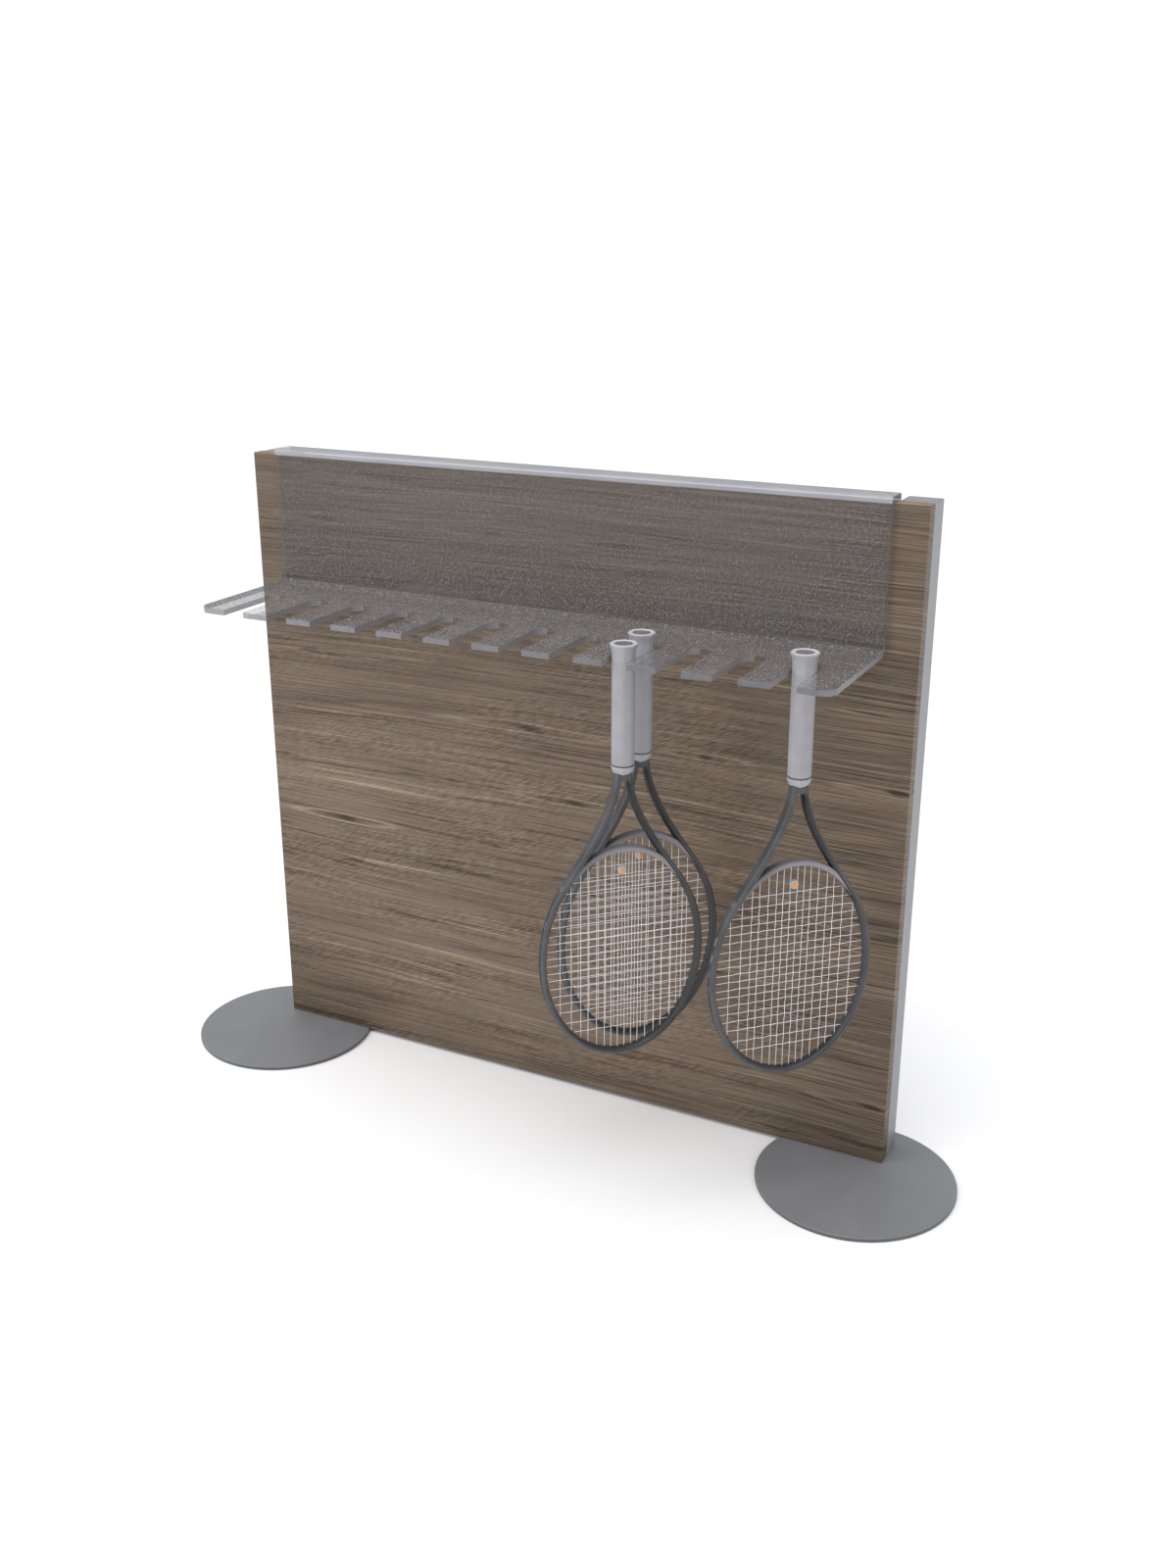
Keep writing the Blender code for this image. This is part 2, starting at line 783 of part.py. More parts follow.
def make_cap(seat):
    """Butt cap: a flared cup over the pallet's end, with a shallow recess. At the
    shelf's top it is as wide as the slot, apart from the gap on either side."""
    bm = bmesh.new()
    at_shelf = SLOT_W - 2 * GAP
    end = seat + CAP_BELOW
    outer = octagon_rings(
        [
            (0.0, 40.2 * MM),
            (0.9 * MM, 41.4 * MM),
            (3.2 * MM, 41.4 * MM),
            (6.0 * MM, 40.2 * MM),
            (seat - 6.0 * MM, 39.8 * MM),
            (seat, at_shelf),
            (end, GRIP_FLATS),
        ]
    )
    cup = octagon_rings([(end, PALLET_FLATS + 0.6 * MM), (4.6 * MM, PALLET_FLATS + 0.6 * MM)])
    recess = [
        [(p.x, p.y, -v) for p in octagon(26 * MM, 0.55)] for v in (0.0, 1.4 * MM)
    ]
    stack = [recess[1], recess[0]] + outer + cup
    rows = [[bm.verts.new(p) for p in ring] for ring in stack]
    m = len(rows[0])
    for a, b in zip(rows, rows[1:]):
        for i in range(m):
            j = (i + 1) % m
            bm.faces.new((a[i], a[j], b[j], b[i]))
    bm.faces.new(rows[0][::-1])
    bm.faces.new(rows[-1])
    return bm


def make_collar():
    v0, v1 = GRIP_TO + GAP, COLLAR_TO
    return tube_between(
        octagon_rings([(v0, GRIP_FLATS), (v0 + 3 * MM, 35.0 * MM), (v1, 28.6 * MM)]),
        [rect_ring(8.4 * MM, 7.0 * MM, v) for v in (v0, v1)],
    )


def make_dampener():
    u = HALF_MAINS[0] - STRING / 2 - GAP
    bm = ring_solid(box_points(-u, u, -3.6 * MM, 2.2 * MM, -374.0 * MM, -362.0 * MM))
    return bm


def mesh_of(made, mat, smooth):
    obj = add("sample", made, mat, smooth)
    mesh = obj.data
    bpy.data.objects.remove(obj, do_unlink=True)
    return mesh


FRAME_MESH = make_frame()
FRAME_MESH.materials.clear()
FRAME_MESH.materials.append(CARBON)
FRAME_MESH.shade_smooth()
FRAME_MESH.set_sharp_from_angle(angle=math.radians(50))
PIECES = {
    "frame": FRAME_MESH,
    "bumper": mesh_of(make_guard(), GUARD, 40),
    "main_strings": mesh_of(make_mains(), STRINGS, None),
    "cross_strings": mesh_of(make_crosses(), STRINGS, None),
    "pallet": mesh_of(make_pallet(), FOAM, None),
    "grip_collar": mesh_of(make_collar(), COLLAR, 30),
    "dampener": mesh_of(make_dampener(), RUBBER, None),
}

for name, (slot, before, seat) in RACKETS.items():
    hanger = bpy.data.objects.new(name, None)
    hanger.location = (slots[slot - 1], FACE - before, SHELF + seat)
    hanger.rotation_euler = (0, 0, TURN)
    bpy.context.scene.collection.objects.link(hanger)
    own = {
        "grip": mesh_of(make_grip(seat), GRIP, 30),
        "butt_cap": mesh_of(make_cap(seat), CAP, 30),
    }
    for label, mesh in {**PIECES, **own}.items():
        piece = bpy.data.objects.new(f"{name}_{label}", mesh)
        piece.parent = hanger
        bpy.context.scene.collection.objects.link(piece)

# every piece gets its own copy of its material, named after it
for piece in list(bpy.context.scene.objects):
    if piece.type != "MESH" or piece.hide_render:
        continue
    finish = next(m for m in piece.data.materials if m)
    piece.material_slots[0].link = "OBJECT"
    piece.material_slots[0].material = finish.copy()
    piece.material_slots[0].material.name = piece.name

bpy.context.view_layer.update()
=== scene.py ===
import math

import bmesh
import bpy
from mathutils import Matrix, Vector
from mathutils.kdtree import KDTree


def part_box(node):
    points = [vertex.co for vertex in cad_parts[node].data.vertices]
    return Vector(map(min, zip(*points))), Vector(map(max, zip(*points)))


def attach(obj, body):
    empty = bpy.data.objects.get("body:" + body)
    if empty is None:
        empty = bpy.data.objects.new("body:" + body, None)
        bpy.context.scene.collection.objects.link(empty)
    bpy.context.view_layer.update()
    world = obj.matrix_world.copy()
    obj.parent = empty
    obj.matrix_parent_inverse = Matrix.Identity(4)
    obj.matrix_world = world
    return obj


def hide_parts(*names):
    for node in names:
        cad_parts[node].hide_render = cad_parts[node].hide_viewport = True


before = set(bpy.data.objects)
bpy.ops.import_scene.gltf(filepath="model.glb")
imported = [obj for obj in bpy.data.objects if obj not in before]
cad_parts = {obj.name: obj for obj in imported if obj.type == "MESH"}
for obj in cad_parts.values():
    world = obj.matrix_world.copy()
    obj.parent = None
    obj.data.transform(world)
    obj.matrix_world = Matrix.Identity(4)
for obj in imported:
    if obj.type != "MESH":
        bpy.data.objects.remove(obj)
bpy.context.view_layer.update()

MM = 0.001
scene = bpy.context.scene
scene.view_settings.view_transform = "Standard"
scene.view_settings.look = "None"

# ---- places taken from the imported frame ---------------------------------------

BOARD_LO, BOARD_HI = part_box("face_board")
RACK_LO, RACK_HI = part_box("display_rack")
PLATE_LO, PLATE_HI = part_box("base_plate_right")
FACE = BOARD_LO[1]
GAP = 0.3 * MM

# ---- camera, light, floor ------------------------------------------------------

YAW, PITCH = 0.4674, 0.3484
camera = bpy.data.objects.new("camera", bpy.data.cameras.new("camera"))
scene.collection.objects.link(camera)
camera.location = (1.1911, -2.1487, 1.5179)
camera.rotation_euler = (math.pi / 2 - PITCH, 0.0, YAW)
camera.data.sensor_width = 36.0
camera.data.lens = 35.75
camera.data.clip_start = 0.05
camera.data.clip_end = 200.0
scene.camera = camera

SKY_LIGHT = 0.50
world = bpy.data.worlds.new("studio")
scene.world = world
world.use_nodes = True
wt = world.node_tree
wt.nodes.clear()
w_out = wt.nodes.new("ShaderNodeOutputWorld")
w_mix = wt.nodes.new("ShaderNodeMixShader")
w_path = wt.nodes.new("ShaderNodeLightPath")
w_seen = wt.nodes.new("ShaderNodeBackground")
w_light = wt.nodes.new("ShaderNodeBackground")
w_seen.inputs[0].default_value = (1.0, 1.0, 1.0, 1.0)
w_seen.inputs[1].default_value = 1.0
w_light.inputs[0].default_value = (0.985, 0.985, 1.0, 1.0)
w_light.inputs[1].default_value = SKY_LIGHT
wt.links.new(w_path.outputs["Is Camera Ray"], w_mix.inputs[0])
wt.links.new(w_light.outputs[0], w_mix.inputs[1])
wt.links.new(w_seen.outputs[0], w_mix.inputs[2])
wt.links.new(w_mix.outputs[0], w_out.inputs[0])


def aimed(name, data, at, to):
    lamp = bpy.data.objects.new(name, data)
    scene.collection.objects.link(lamp)
    lamp.location = at
    lamp.rotation_euler = (Vector(to) - Vector(at)).to_track_quat("-Z", "Y").to_euler()
    return lamp


def softbox(name, at, to, size, watts, colour=(1.0, 1.0, 1.0)):
    data = bpy.data.lights.new(name, "AREA")
    data.shape = "SQUARE"
    data.size = size
    data.energy = watts
    data.color = colour
    return aimed(name, data, at, to)


def sun(name, at, strength, spread):
    data = bpy.data.lights.new(name, "SUN")
    data.energy = strength
    data.angle = math.radians(spread)
    return aimed(name, data, at, (0, 0, 0))


sun("overhead", (-0.3, -0.4, 2.6), 2.3, 70)
softbox("key", (-2.9, -3.6, 2.4), (-0.2, 0.1, 0.6), 2.2, 70)
softbox("side_fill", (3.0, -0.6, 1.6), (0.5, 0.1, 0.6), 1.6, 10)

# ---- node helpers ----------------------------------------------------------------


def linear(r, g, b, light=1.0):
    """Surface colour that shows as this sRGB colour where so much light falls on it."""
    made = []
    for c in (r, g, b):
        c /= 255
        made.append((c / 12.92 if c <= 0.04045 else ((c + 0.055) / 1.055) ** 2.4) / light)
    return (*made, 1.0)


class Net:
    """A material and short ways to add nodes to it."""

    def __init__(self, name):
        self.mat = bpy.data.materials.new(name)
        self.mat.use_nodes = True
        self.tree = self.mat.node_tree
        self.tree.nodes.clear()
        self.out = self.tree.nodes.new("ShaderNodeOutputMaterial")
        self.shader = self.tree.nodes.new("ShaderNodeBsdfPrincipled")
        self.tree.links.new(self.shader.outputs[0], self.out.inputs[0])
        self.at = self.node("ShaderNodeTexCoord").outputs["Object"]
        parts = self.node("ShaderNodeSeparateXYZ", {0: self.at}).outputs
        self.x, self.y, self.z = parts[0], parts[1], parts[2]

    def put(self, socket, value):
        if isinstance(value, bpy.types.NodeSocket):
            self.tree.links.new(value, socket)
        elif value is not None:
            socket.default_value = value

    def node(self, kind, inputs=None, **settings):
        made = self.tree.nodes.new(kind)
        for key, value in settings.items():
            setattr(made, key, value)
        for key, value in (inputs or {}).items():
            self.put(made.inputs[key], value)
        return made

    def set(self, **values):
        for key, value in values.items():
            self.put(self.shader.inputs[key.replace("_", " ")], value)
        return self

    def math(self, operation, a, b=None, c=None, clamp=False):
        return self.node(
            "ShaderNodeMath", {0: a, 1: b, 2: c}, operation=operation, use_clamp=clamp
        ).outputs[0]

    def add(self, *values):
        total = values[0]
        for v in values[1:]:
            total = self.math("ADD", total, v)
        return total

    def mul(self, a, b):
        return self.math("MULTIPLY", a, b)

    def sub(self, a, b):
        return self.math("SUBTRACT", a, b)

    def vec(self, x, y, z):
        return self.node("ShaderNodeCombineXYZ", {0: x, 1: y, 2: z}).outputs[0]

    def scaled(self, sx, sy, sz):
        return self.vec(self.mul(self.x, sx), self.mul(self.y, sy), self.mul(self.z, sz))

    def noise(self, at, scale=1.0, detail=2.0, rough=0.5, bend=0.0):
        made = self.node(
            "ShaderNodeTexNoise",
            {"Vector": at, "Scale": scale, "Detail": detail, "Roughness": rough, "Distortion": bend},
        )
        return made.outputs["Fac"]

    def cells(self, at, scale=1.0, feature="F1", output="Distance", jitter=1.0):
        made = self.node(
            "ShaderNodeTexVoronoi",
            {"Vector": at, "Scale": scale, "Randomness": jitter},
            feature=feature,
        )
        return made.outputs[output]

    def fit(self, value, lo, hi, to_lo=0.0, to_hi=1.0, smooth=True):
        return self.node(
            "ShaderNodeMapRange",
            {0: value, 1: lo, 2: hi, 3: to_lo, 4: to_hi},
            interpolation_type="SMOOTHSTEP" if smooth else "LINEAR",
        ).outputs[0]

    def ramp(self, value, stops, mode="LINEAR"):
        made = self.node("ShaderNodeValToRGB", {0: value})
        band = made.color_ramp
        band.interpolation = mode
        while len(band.elements) < len(stops):
            band.elements.new(0.5)
        for element, (place, colour) in zip(band.elements, stops):
            element.position = place
            element.color = colour
        return made.outputs[0]

    def mix(self, share, a, b, mode="MIX"):
        made = self.node("ShaderNodeMix", data_type="RGBA", blend_type=mode)
        self.put(made.inputs[0], share)
        self.put(made.inputs[6], a)
        self.put(made.inputs[7], b)
        return made.outputs[2]

    def bump(self, height, strength, distance, under=None):
        return self.node(
            "ShaderNodeBump",
            {"Height": height, "Strength": strength, "Distance": distance, "Normal": under},
        ).outputs[0]


# ---- materials -------------------------------------------------------------------

LIGHT_FRONT = 1.05
LIGHT_TOP = 1.30
LIGHT_SIDE = 0.90


def wood():
    """Weathered-oak laminate: long wavy bands along X, thin dark grain lines, lens-shaped eyes with light rims and
    small dark knots, fine slanted pores. Painted shade darkens it towards its ends, its lower edge, its top-left
    corner and under the shelf, and painted highlights run along its right and top edges."""
    n = Net("laminate_oak")
    slow = n.sub(n.noise(n.scaled(0.9, 2.0, 2.4), 1.0, 1.5), 0.5)
    quick = n.sub(n.noise(n.scaled(3.0, 4.0, 10.0), 1.0, 1.0), 0.5)
    t = n.add(n.z, n.mul(n.y, 0.35), n.mul(slow, 0.052), n.mul(quick, 0.010))
    wobble = n.mul(n.sub(n.noise(n.scaled(9.0, 4.0, 30.0), 1.0, 1.0), 0.5), 0.006)
    marks = None
    # place of each knot, half length and half height of its eye, how dark its core is,
    # how light the streaks along its rim are
    for kx, kz, half_x, half_z, core, rim in (
        (-0.458, 0.451, 0.130, 0.0085, 1.0, 1.0),
        (-0.131, 0.453, 0.060, 0.0055, 0.5, 0.5),
        (0.030, 0.563, 0.140, 0.0085, 0.9, 0.9),
        (-0.060, 0.685, 0.190, 0.0100, 0.6, 0.9),
        (-0.328, 0.681, 0.100, 0.0035, -0.3, 0.6),
        (0.596, 0.673, 0.110, 0.0090, 1.0, 0.7),
        (0.272, 0.684, 0.090, 0.0070, 0.5, 0.8),
        (0.584, 0.798, 0.110, 0.0040, -0.4, 0.6),
        (0.386, 0.792, 0.090, 0.0040, -0.4, 0.6),
        (-0.465, 1.020, 0.120, 0.0090, 0.8, 0.9),
        (-0.125, 1.020, 0.130, 0.0070, 0.5, 0.8),
        (0.121, 1.021, 0.120, 0.0070, 0.5, 0.8),
        (-0.148, 0.903, 0.070, 0.0060, 0.7, 0.5),
        (0.592, 0.109, 0.120, 0.0085, 0.9, 0.8),
        (-0.213, 0.195, 0.080, 0.0060, 0.5, 0.5),
        (0.300, 0.300, 0.110, 0.0075, 0.6, 0.6),
        (-0.470, 0.771, 0.110, 0.0045, 0.3, 0.6),
    ):
        dx = n.sub(n.x, kx)
        dz = n.add(n.sub(n.z, kz), wobble)
        far = n.add(
            n.math("POWER", n.mul(dx, 1 / half_x), 2.0), n.math("POWER", n.mul(dz, 1 / half_z), 2.0)
        )
        eye = n.math("EXPONENT", n.mul(far, -1.0))
        t = n.sub(t, n.mul(n.mul(dz, 0.80), eye))
        # light streaks above and below, widest apart in the middle
        ring = n.math("ABSOLUTE", n.sub(n.math("SQRT", far), 0.85))
        pair = n.fit(ring, 0.04, 0.30, rim * 0.30, 0.0)
        # the core leans a little, as a cut branch does
        lean = n.add(dz, n.mul(dx, 0.06))
        near = n.add(
            n.math("POWER", n.mul(dx, 1 / (0.12 * half_x)), 2.0),
            n.math("POWER", n.mul(lean, 1 / (0.38 * half_z)), 2.0),
        )
        spot = n.mul(n.math("EXPONENT", n.mul(near, -1.0)), -0.74 * core)
        long_dark = n.mul(n.math("EXPONENT", n.mul(far, -4.5)), -0.16 * abs(core))
        mark = n.add(spot, pair, long_dark)
        marks = mark if marks is None else n.add(marks, mark)

    wide = n.sub(n.noise(n.vec(n.mul(n.x, 0.45), 0.0, n.mul(t, 24.0)), 1.0, 2.0, 0.5), 0.5)
    mid = n.sub(n.noise(n.vec(n.mul(n.x, 1.1), 3.0, n.mul(t, 88.0)), 1.0, 3.0, 0.6), 0.5)
    fine = n.sub(n.noise(n.vec(n.mul(n.x, 3.6), 7.0, n.mul(t, 320.0)), 1.0, 2.0, 0.6), 0.5)
    # thin dark grain lines, where a stretched noise passes its middle value
    crest = n.math(
        "ABSOLUTE", n.sub(n.noise(n.vec(n.mul(n.x, 1.6), 19.0, n.mul(t, 78.0)), 1.0, 1.5, 0.5), 0.5)
    )
    line = n.fit(crest, 0.0, 0.036, 1.0, 0.0)
    line_share = n.fit(n.noise(n.scaled(4.0, 3.0, 26.0), 1.0, 2.0), 0.40, 0.62, 0.15, 1.0)
    tone = n.sub(n.noise(n.scaled(1.3, 1.0, 4.0), 1.0, 1.0), 0.5)
    lean = math.radians(22)
    px = n.add(n.mul(n.x, math.cos(lean)), n.mul(n.z, math.sin(lean)))
    pz = n.sub(n.mul(n.z, math.cos(lean)), n.mul(n.x, math.sin(lean)))
    hatch = n.sub(
        n.noise(n.vec(n.mul(px, 58.0), n.mul(n.y, 150.0), n.mul(pz, 560.0)), 1.0, 1.0, 0.5), 0.5
    )
    pores = n.fit(hatch, -0.02, 0.18, 0.0, -1.0)
    glint = n.fit(hatch, -0.20, 0.0, 1.0, 0.0)
    patch = n.fit(n.noise(n.scaled(2.6, 2.0, 12.0), 1.0, 1.5), 0.36, 0.62, 0.30, 1.0)
    calm = n.fit(n.z, 0.88, 0.94, 1.0, 0.50)
    patch = n.mul(n.mul(patch, n.mul(calm, calm)), n.fit(n.x, 0.34, 0.56, 1.0, 0.35))
    streak = n.fit(
        n.noise(n.vec(n.mul(n.x, 1.5), 11.0, n.mul(t, 120.0)), 1.0, 1.0), 0.63, 0.74, 0.0, 1.0
    )
    # close, crisp lines towards the right end
    close = n.sub(n.noise(n.vec(n.mul(n.x, 5.0), 31.0, n.mul(t, 390.0)), 1.0, 1.0, 0.5), 0.5)
    close = n.mul(close, n.fit(n.x, 0.36, 0.58, 0.30, 1.40))
    value = n.add(
        0.50,
        n.mul(n.mul(wide, 0.50), calm),
        n.mul(n.mul(mid, 0.52), calm),
        n.mul(fine, 0.90),
        close,
        n.mul(n.mul(tone, 0.30), calm),
        n.mul(n.mul(pores, patch), 0.20),
        n.mul(n.mul(glint, patch), 0.20),
        n.mul(n.mul(n.mul(line, line_share), calm), -0.29),
        n.mul(streak, 0.30),
        n.mul(marks, calm),
    )
    colour = n.ramp(
        value,
        [
            (0.00, linear(62, 50, 40, LIGHT_FRONT)),
            (0.28, linear(94, 79, 66, LIGHT_FRONT)),
            (0.50, linear(117, 102, 87, LIGHT_FRONT)),
            (0.74, linear(138, 121, 103, LIGHT_FRONT)),
            (1.00, linear(165, 148, 127, LIGHT_FRONT)),
        ],
    )
    # painted shade: the sheet is darkened towards its ends and its lower edge, in its top-left corner and under the
    # shelf, where less light falls; its right side face is painted a little lighter
    low = n.fit(n.z, 0.0, 0.16, 0.90, 1.0)
    left = n.fit(n.x, -0.62, -0.40, 0.95, 1.0)
    right = n.fit(n.x, 0.20, 0.62, 1.0, 0.85)
    # painted shade in the top-left corner
    corner = n.mul(n.fit(n.z, 0.75, 0.95), n.fit(n.x, -0.56, -0.30, 1.0, 0.0))
    # painted light: the right side face is made a little lighter
    painted_side_light = n.fit(n.x, BOARD_HI[0] - 0.6 * MM, BOARD_HI[0] - 0.2 * MM, 1.0, 1.06)
    # painted shade under the shelf, weaker towards the right
    under = n.mul(n.fit(n.z, 0.56, 0.70), n.fit(n.z, 0.87, 0.92, 0.10, 0.0))
    under = n.mul(under, n.fit(n.x, -0.05, 0.30, 1.0, 0.45))
    painted_shade = n.mul(n.mul(low, left), n.mul(n.mul(right, painted_side_light), n.sub(1.0, n.mul(corner, 0.16))))
    painted_shade = n.mul(painted_shade, n.sub(0.975, under))
    colour = n.mix(1.0, colour, n.vec(painted_shade, painted_shade, painted_shade), "MULTIPLY")
    # painted highlights: pale lines along the right and top corners of the edge banding, broken up by a mottle; a
    # brown line along the left edge
    edge_x = n.sub(n.x, BOARD_HI[0] - 1.3 * MM)
    edge_l = n.sub(BOARD_LO[0] + 2.3 * MM, n.x)
    edge_y = n.math("SUBTRACT", FACE + 1.3 * MM, n.y)
    # painted highlights on the right front corner and along the top
    side_highlight = n.mul(n.mul(n.fit(edge_x, 0.0, 0.6 * MM), n.fit(edge_y, 0.0, 0.6 * MM)), 0.18)
    top_highlight = n.mul(n.fit(n.z, BOARD_HI[2] - 1.4 * MM, BOARD_HI[2] - 0.8 * MM), 0.8)
    mottle = n.fit(n.noise(n.at, 60.0, 3.0), 0.3, 0.6, 0.45, 1.0)
    colour = n.mix(
        n.mul(n.math("MAXIMUM", side_highlight, top_highlight), mottle), colour, linear(146, 129, 110, LIGHT_FRONT)
    )
    left_line = n.mul(n.fit(edge_l, 0.0, 0.7 * MM), n.fit(edge_y, -1.0 * MM, 0.6 * MM))
    colour = n.mix(n.mul(left_line, mottle), colour, linear(58, 46, 37, LIGHT_FRONT))
    height = n.add(n.mul(fine, 0.5), n.mul(hatch, 0.8), n.mul(mid, 0.35), n.mul(line, -0.12))
    n.set(
        Base_Color=colour,
        Roughness=n.add(0.52, n.mul(mid, 0.25), n.mul(hatch, 0.25)),
        Specular_IOR_Level=0.3,
        Normal=n.bump(height, 0.35, 0.25 * MM),
    )
    return n.mat


def painted(name, colour, dark, rough, shade_below=None):
    """Powder-coated metal: fine orange peel, faint dust and rubbed spots. Below the given height it turns darker:
    painted shade on a plate's vertical rim."""
    n = Net(name)
    cloud = n.noise(n.at, 7.0, 3.0, 0.55)
    grain = n.noise(n.at, 900.0, 2.0)
    peel = n.cells(n.at, 520.0, "SMOOTH_F1")
    dust = n.fit(n.noise(n.at, 420.0, 2.0, 0.7), 0.66, 0.78)
    rub = n.fit(n.noise(n.scaled(14.0, 14.0, 90.0), 1.0, 3.0, 0.6), 0.60, 0.74)
    base = n.mix(n.fit(cloud, 0.36, 0.64), dark, colour)
    base = n.mix(n.mul(grain, 0.18), base, (0.02, 0.02, 0.02, 1.0))
    base = n.mix(n.mul(dust, 0.16), base, (0.62, 0.62, 0.62, 1.0))
    base = n.mix(n.mul(rub, 0.05), base, (0.55, 0.56, 0.58, 1.0))
    if shade_below is not None:
        # painted shade: the plate's rim below its top is painted darker
        rim = n.fit(n.z, shade_below - 0.5 * MM, shade_below, 0.85, 0.0)
        base = n.mix(rim, base, (0.085, 0.088, 0.095, 1.0))
    n.set(
        Base_Color=base,
        Roughness=n.add(rough, n.mul(n.sub(cloud, 0.5), 0.16), n.mul(n.sub(grain, 0.5), 0.10)),
        Specular_IOR_Level=0.5,
        Normal=n.bump(n.add(peel, n.mul(grain, 0.4)), 0.10, 0.12 * MM),
    )
    return n.mat


def zinc():
    n = Net("zinc_plating")
    cloud = n.noise(n.at, 260.0, 3.0)
    fine = n.noise(n.scaled(2600.0, 2600.0, 500.0), 1.0, 2.0)
    n.set(
        Base_Color=n.mix(
            n.fit(cloud, 0.35, 0.65), (0.50, 0.50, 0.48, 1.0), (0.66, 0.67, 0.70, 1.0)
        ),
        Metallic=1.0,
        Roughness=n.add(0.26, n.mul(n.sub(fine, 0.5), 0.22)),
        Normal=n.bump(fine, 0.12, 0.05 * MM),
    )
    return n.mat


def clear_face():
    """The broad faces of the acrylic sheet: clear, with fine specks in it that crowd the level shelf. The strip over
    the board's top edge is milky, with painted shade lines over the board's back edge and along its far edge. Painted
    light makes the upright plate lighter to the right, the level shelf lighter than the plate and the haze just above
    the bend thicker; painted shade darkens the inside of the bend."""
    n = Net("acrylic_face")
    speck = n.noise(n.at, 340.0, 1.0, 0.5)
    grit = n.noise(n.at, 300.0, 1.0, 0.5)
    cloud = n.noise(n.at, 9.0, 3.0)
    flat = n.fit(n.z, RACK_LO[2] + 11 * MM, RACK_LO[2] + 20 * MM, 1.0, 0.0)
    near_bend = n.fit(n.z, RACK_LO[2] + 20 * MM, RACK_LO[2] + 170 * MM, 0.62, 0.44)
    over = n.fit(n.z, RACK_HI[2] - 12 * MM, RACK_HI[2] - 9 * MM)
    share = n.mul(n.math("MAXIMUM", flat, near_bend), n.sub(1.0, over))
    dots = n.mul(n.fit(speck, 0.57, 0.62), share)
    upright = n.mix(
        n.fit(cloud, 0.3, 0.7), (0.112, 0.116, 0.124, 1.0), (0.128, 0.132, 0.141, 1.0)
    )
    # painted light: the upright plate's haze grows up to 22 per cent lighter towards the right
    painted_light_right = n.add(1.0, n.fit(n.x, 0.0, 0.6, 0.0, 0.22))
    upright = n.mix(1.0, upright, n.vec(painted_light_right, painted_light_right, painted_light_right), "MULTIPLY")
    # painted light: the level shelf's haze is a lighter copy of the upright plate's, as light from above falls on it
    level = n.mix(n.fit(cloud, 0.3, 0.7), (0.135, 0.130, 0.136, 1.0), (0.165, 0.160, 0.167, 1.0))
    base = n.mix(flat, upright, level)
    # painted shade: a dark band in the inside corner of the bend
    bend = n.mul(
        n.fit(n.z, RACK_LO[2] + 10.1 * MM, RACK_LO[2] + 10.8 * MM),
        n.fit(n.z, RACK_LO[2] + 17 * MM, RACK_LO[2] + 22 * MM, 0.45, 0.0),
    )
    fleck = n.mix(n.fit(grit, 0.40, 0.60), (0.170, 0.167, 0.170, 1.0), (0.420, 0.414, 0.430, 1.0))
    base = n.mix(n.math("MINIMUM", n.mul(dots, 1.4), 1.0), base, fleck)
    base = n.mix(bend, base, (0.055, 0.054, 0.056, 1.0))
    # painted light: a little more haze just above the bend lightens the shade that falls there
    foot = n.mul(
        n.fit(n.z, RACK_LO[2] + 16 * MM, RACK_LO[2] + 22 * MM),
        n.fit(n.z, RACK_LO[2] + 30 * MM, RACK_LO[2] + 90 * MM, 1.0, 0.0),
    )
    milky = n.mix(n.fit(cloud, 0.3, 0.7), (0.42, 0.42, 0.455, 1.0), (0.48, 0.48, 0.515, 1.0))
    # painted shadow: a dark line over the board's back edge under the strip
    seam = n.math("ABSOLUTE", n.sub(n.y, BOARD_HI[1] - 1.0 * MM))
    milky = n.mix(n.fit(seam, 0.4 * MM, 1.2 * MM, 0.65, 0.0), milky, (0.16, 0.16, 0.175, 1.0))
    # painted shade along the strip's far, rounded edge
    back = n.fit(n.y, RACK_HI[1] - 2.6 * MM, RACK_HI[1] - 1.6 * MM)
    milky = n.mix(back, milky, (0.11, 0.11, 0.12, 1.0))
    base = n.mix(over, base, milky)
    alpha = n.add(
        0.14,
        n.mul(flat, 0.20),
        n.mul(n.mul(dots, n.sub(1.0, n.mul(bend, 0.6))), 0.42),
        n.mul(foot, 0.05),
        n.mul(over, 0.50),
        n.mul(n.mul(over, back), 0.25),
        n.mul(n.sub(cloud, 0.5), 0.03),
    )
    n.set(
        Base_Color=base,
        Alpha=alpha,
        Roughness=n.add(0.22, n.mul(speck, 0.16)),
        Specular_IOR_Level=0.35,
        Normal=n.bump(speck, 0.06, 0.05 * MM),
    )
    return n.mat


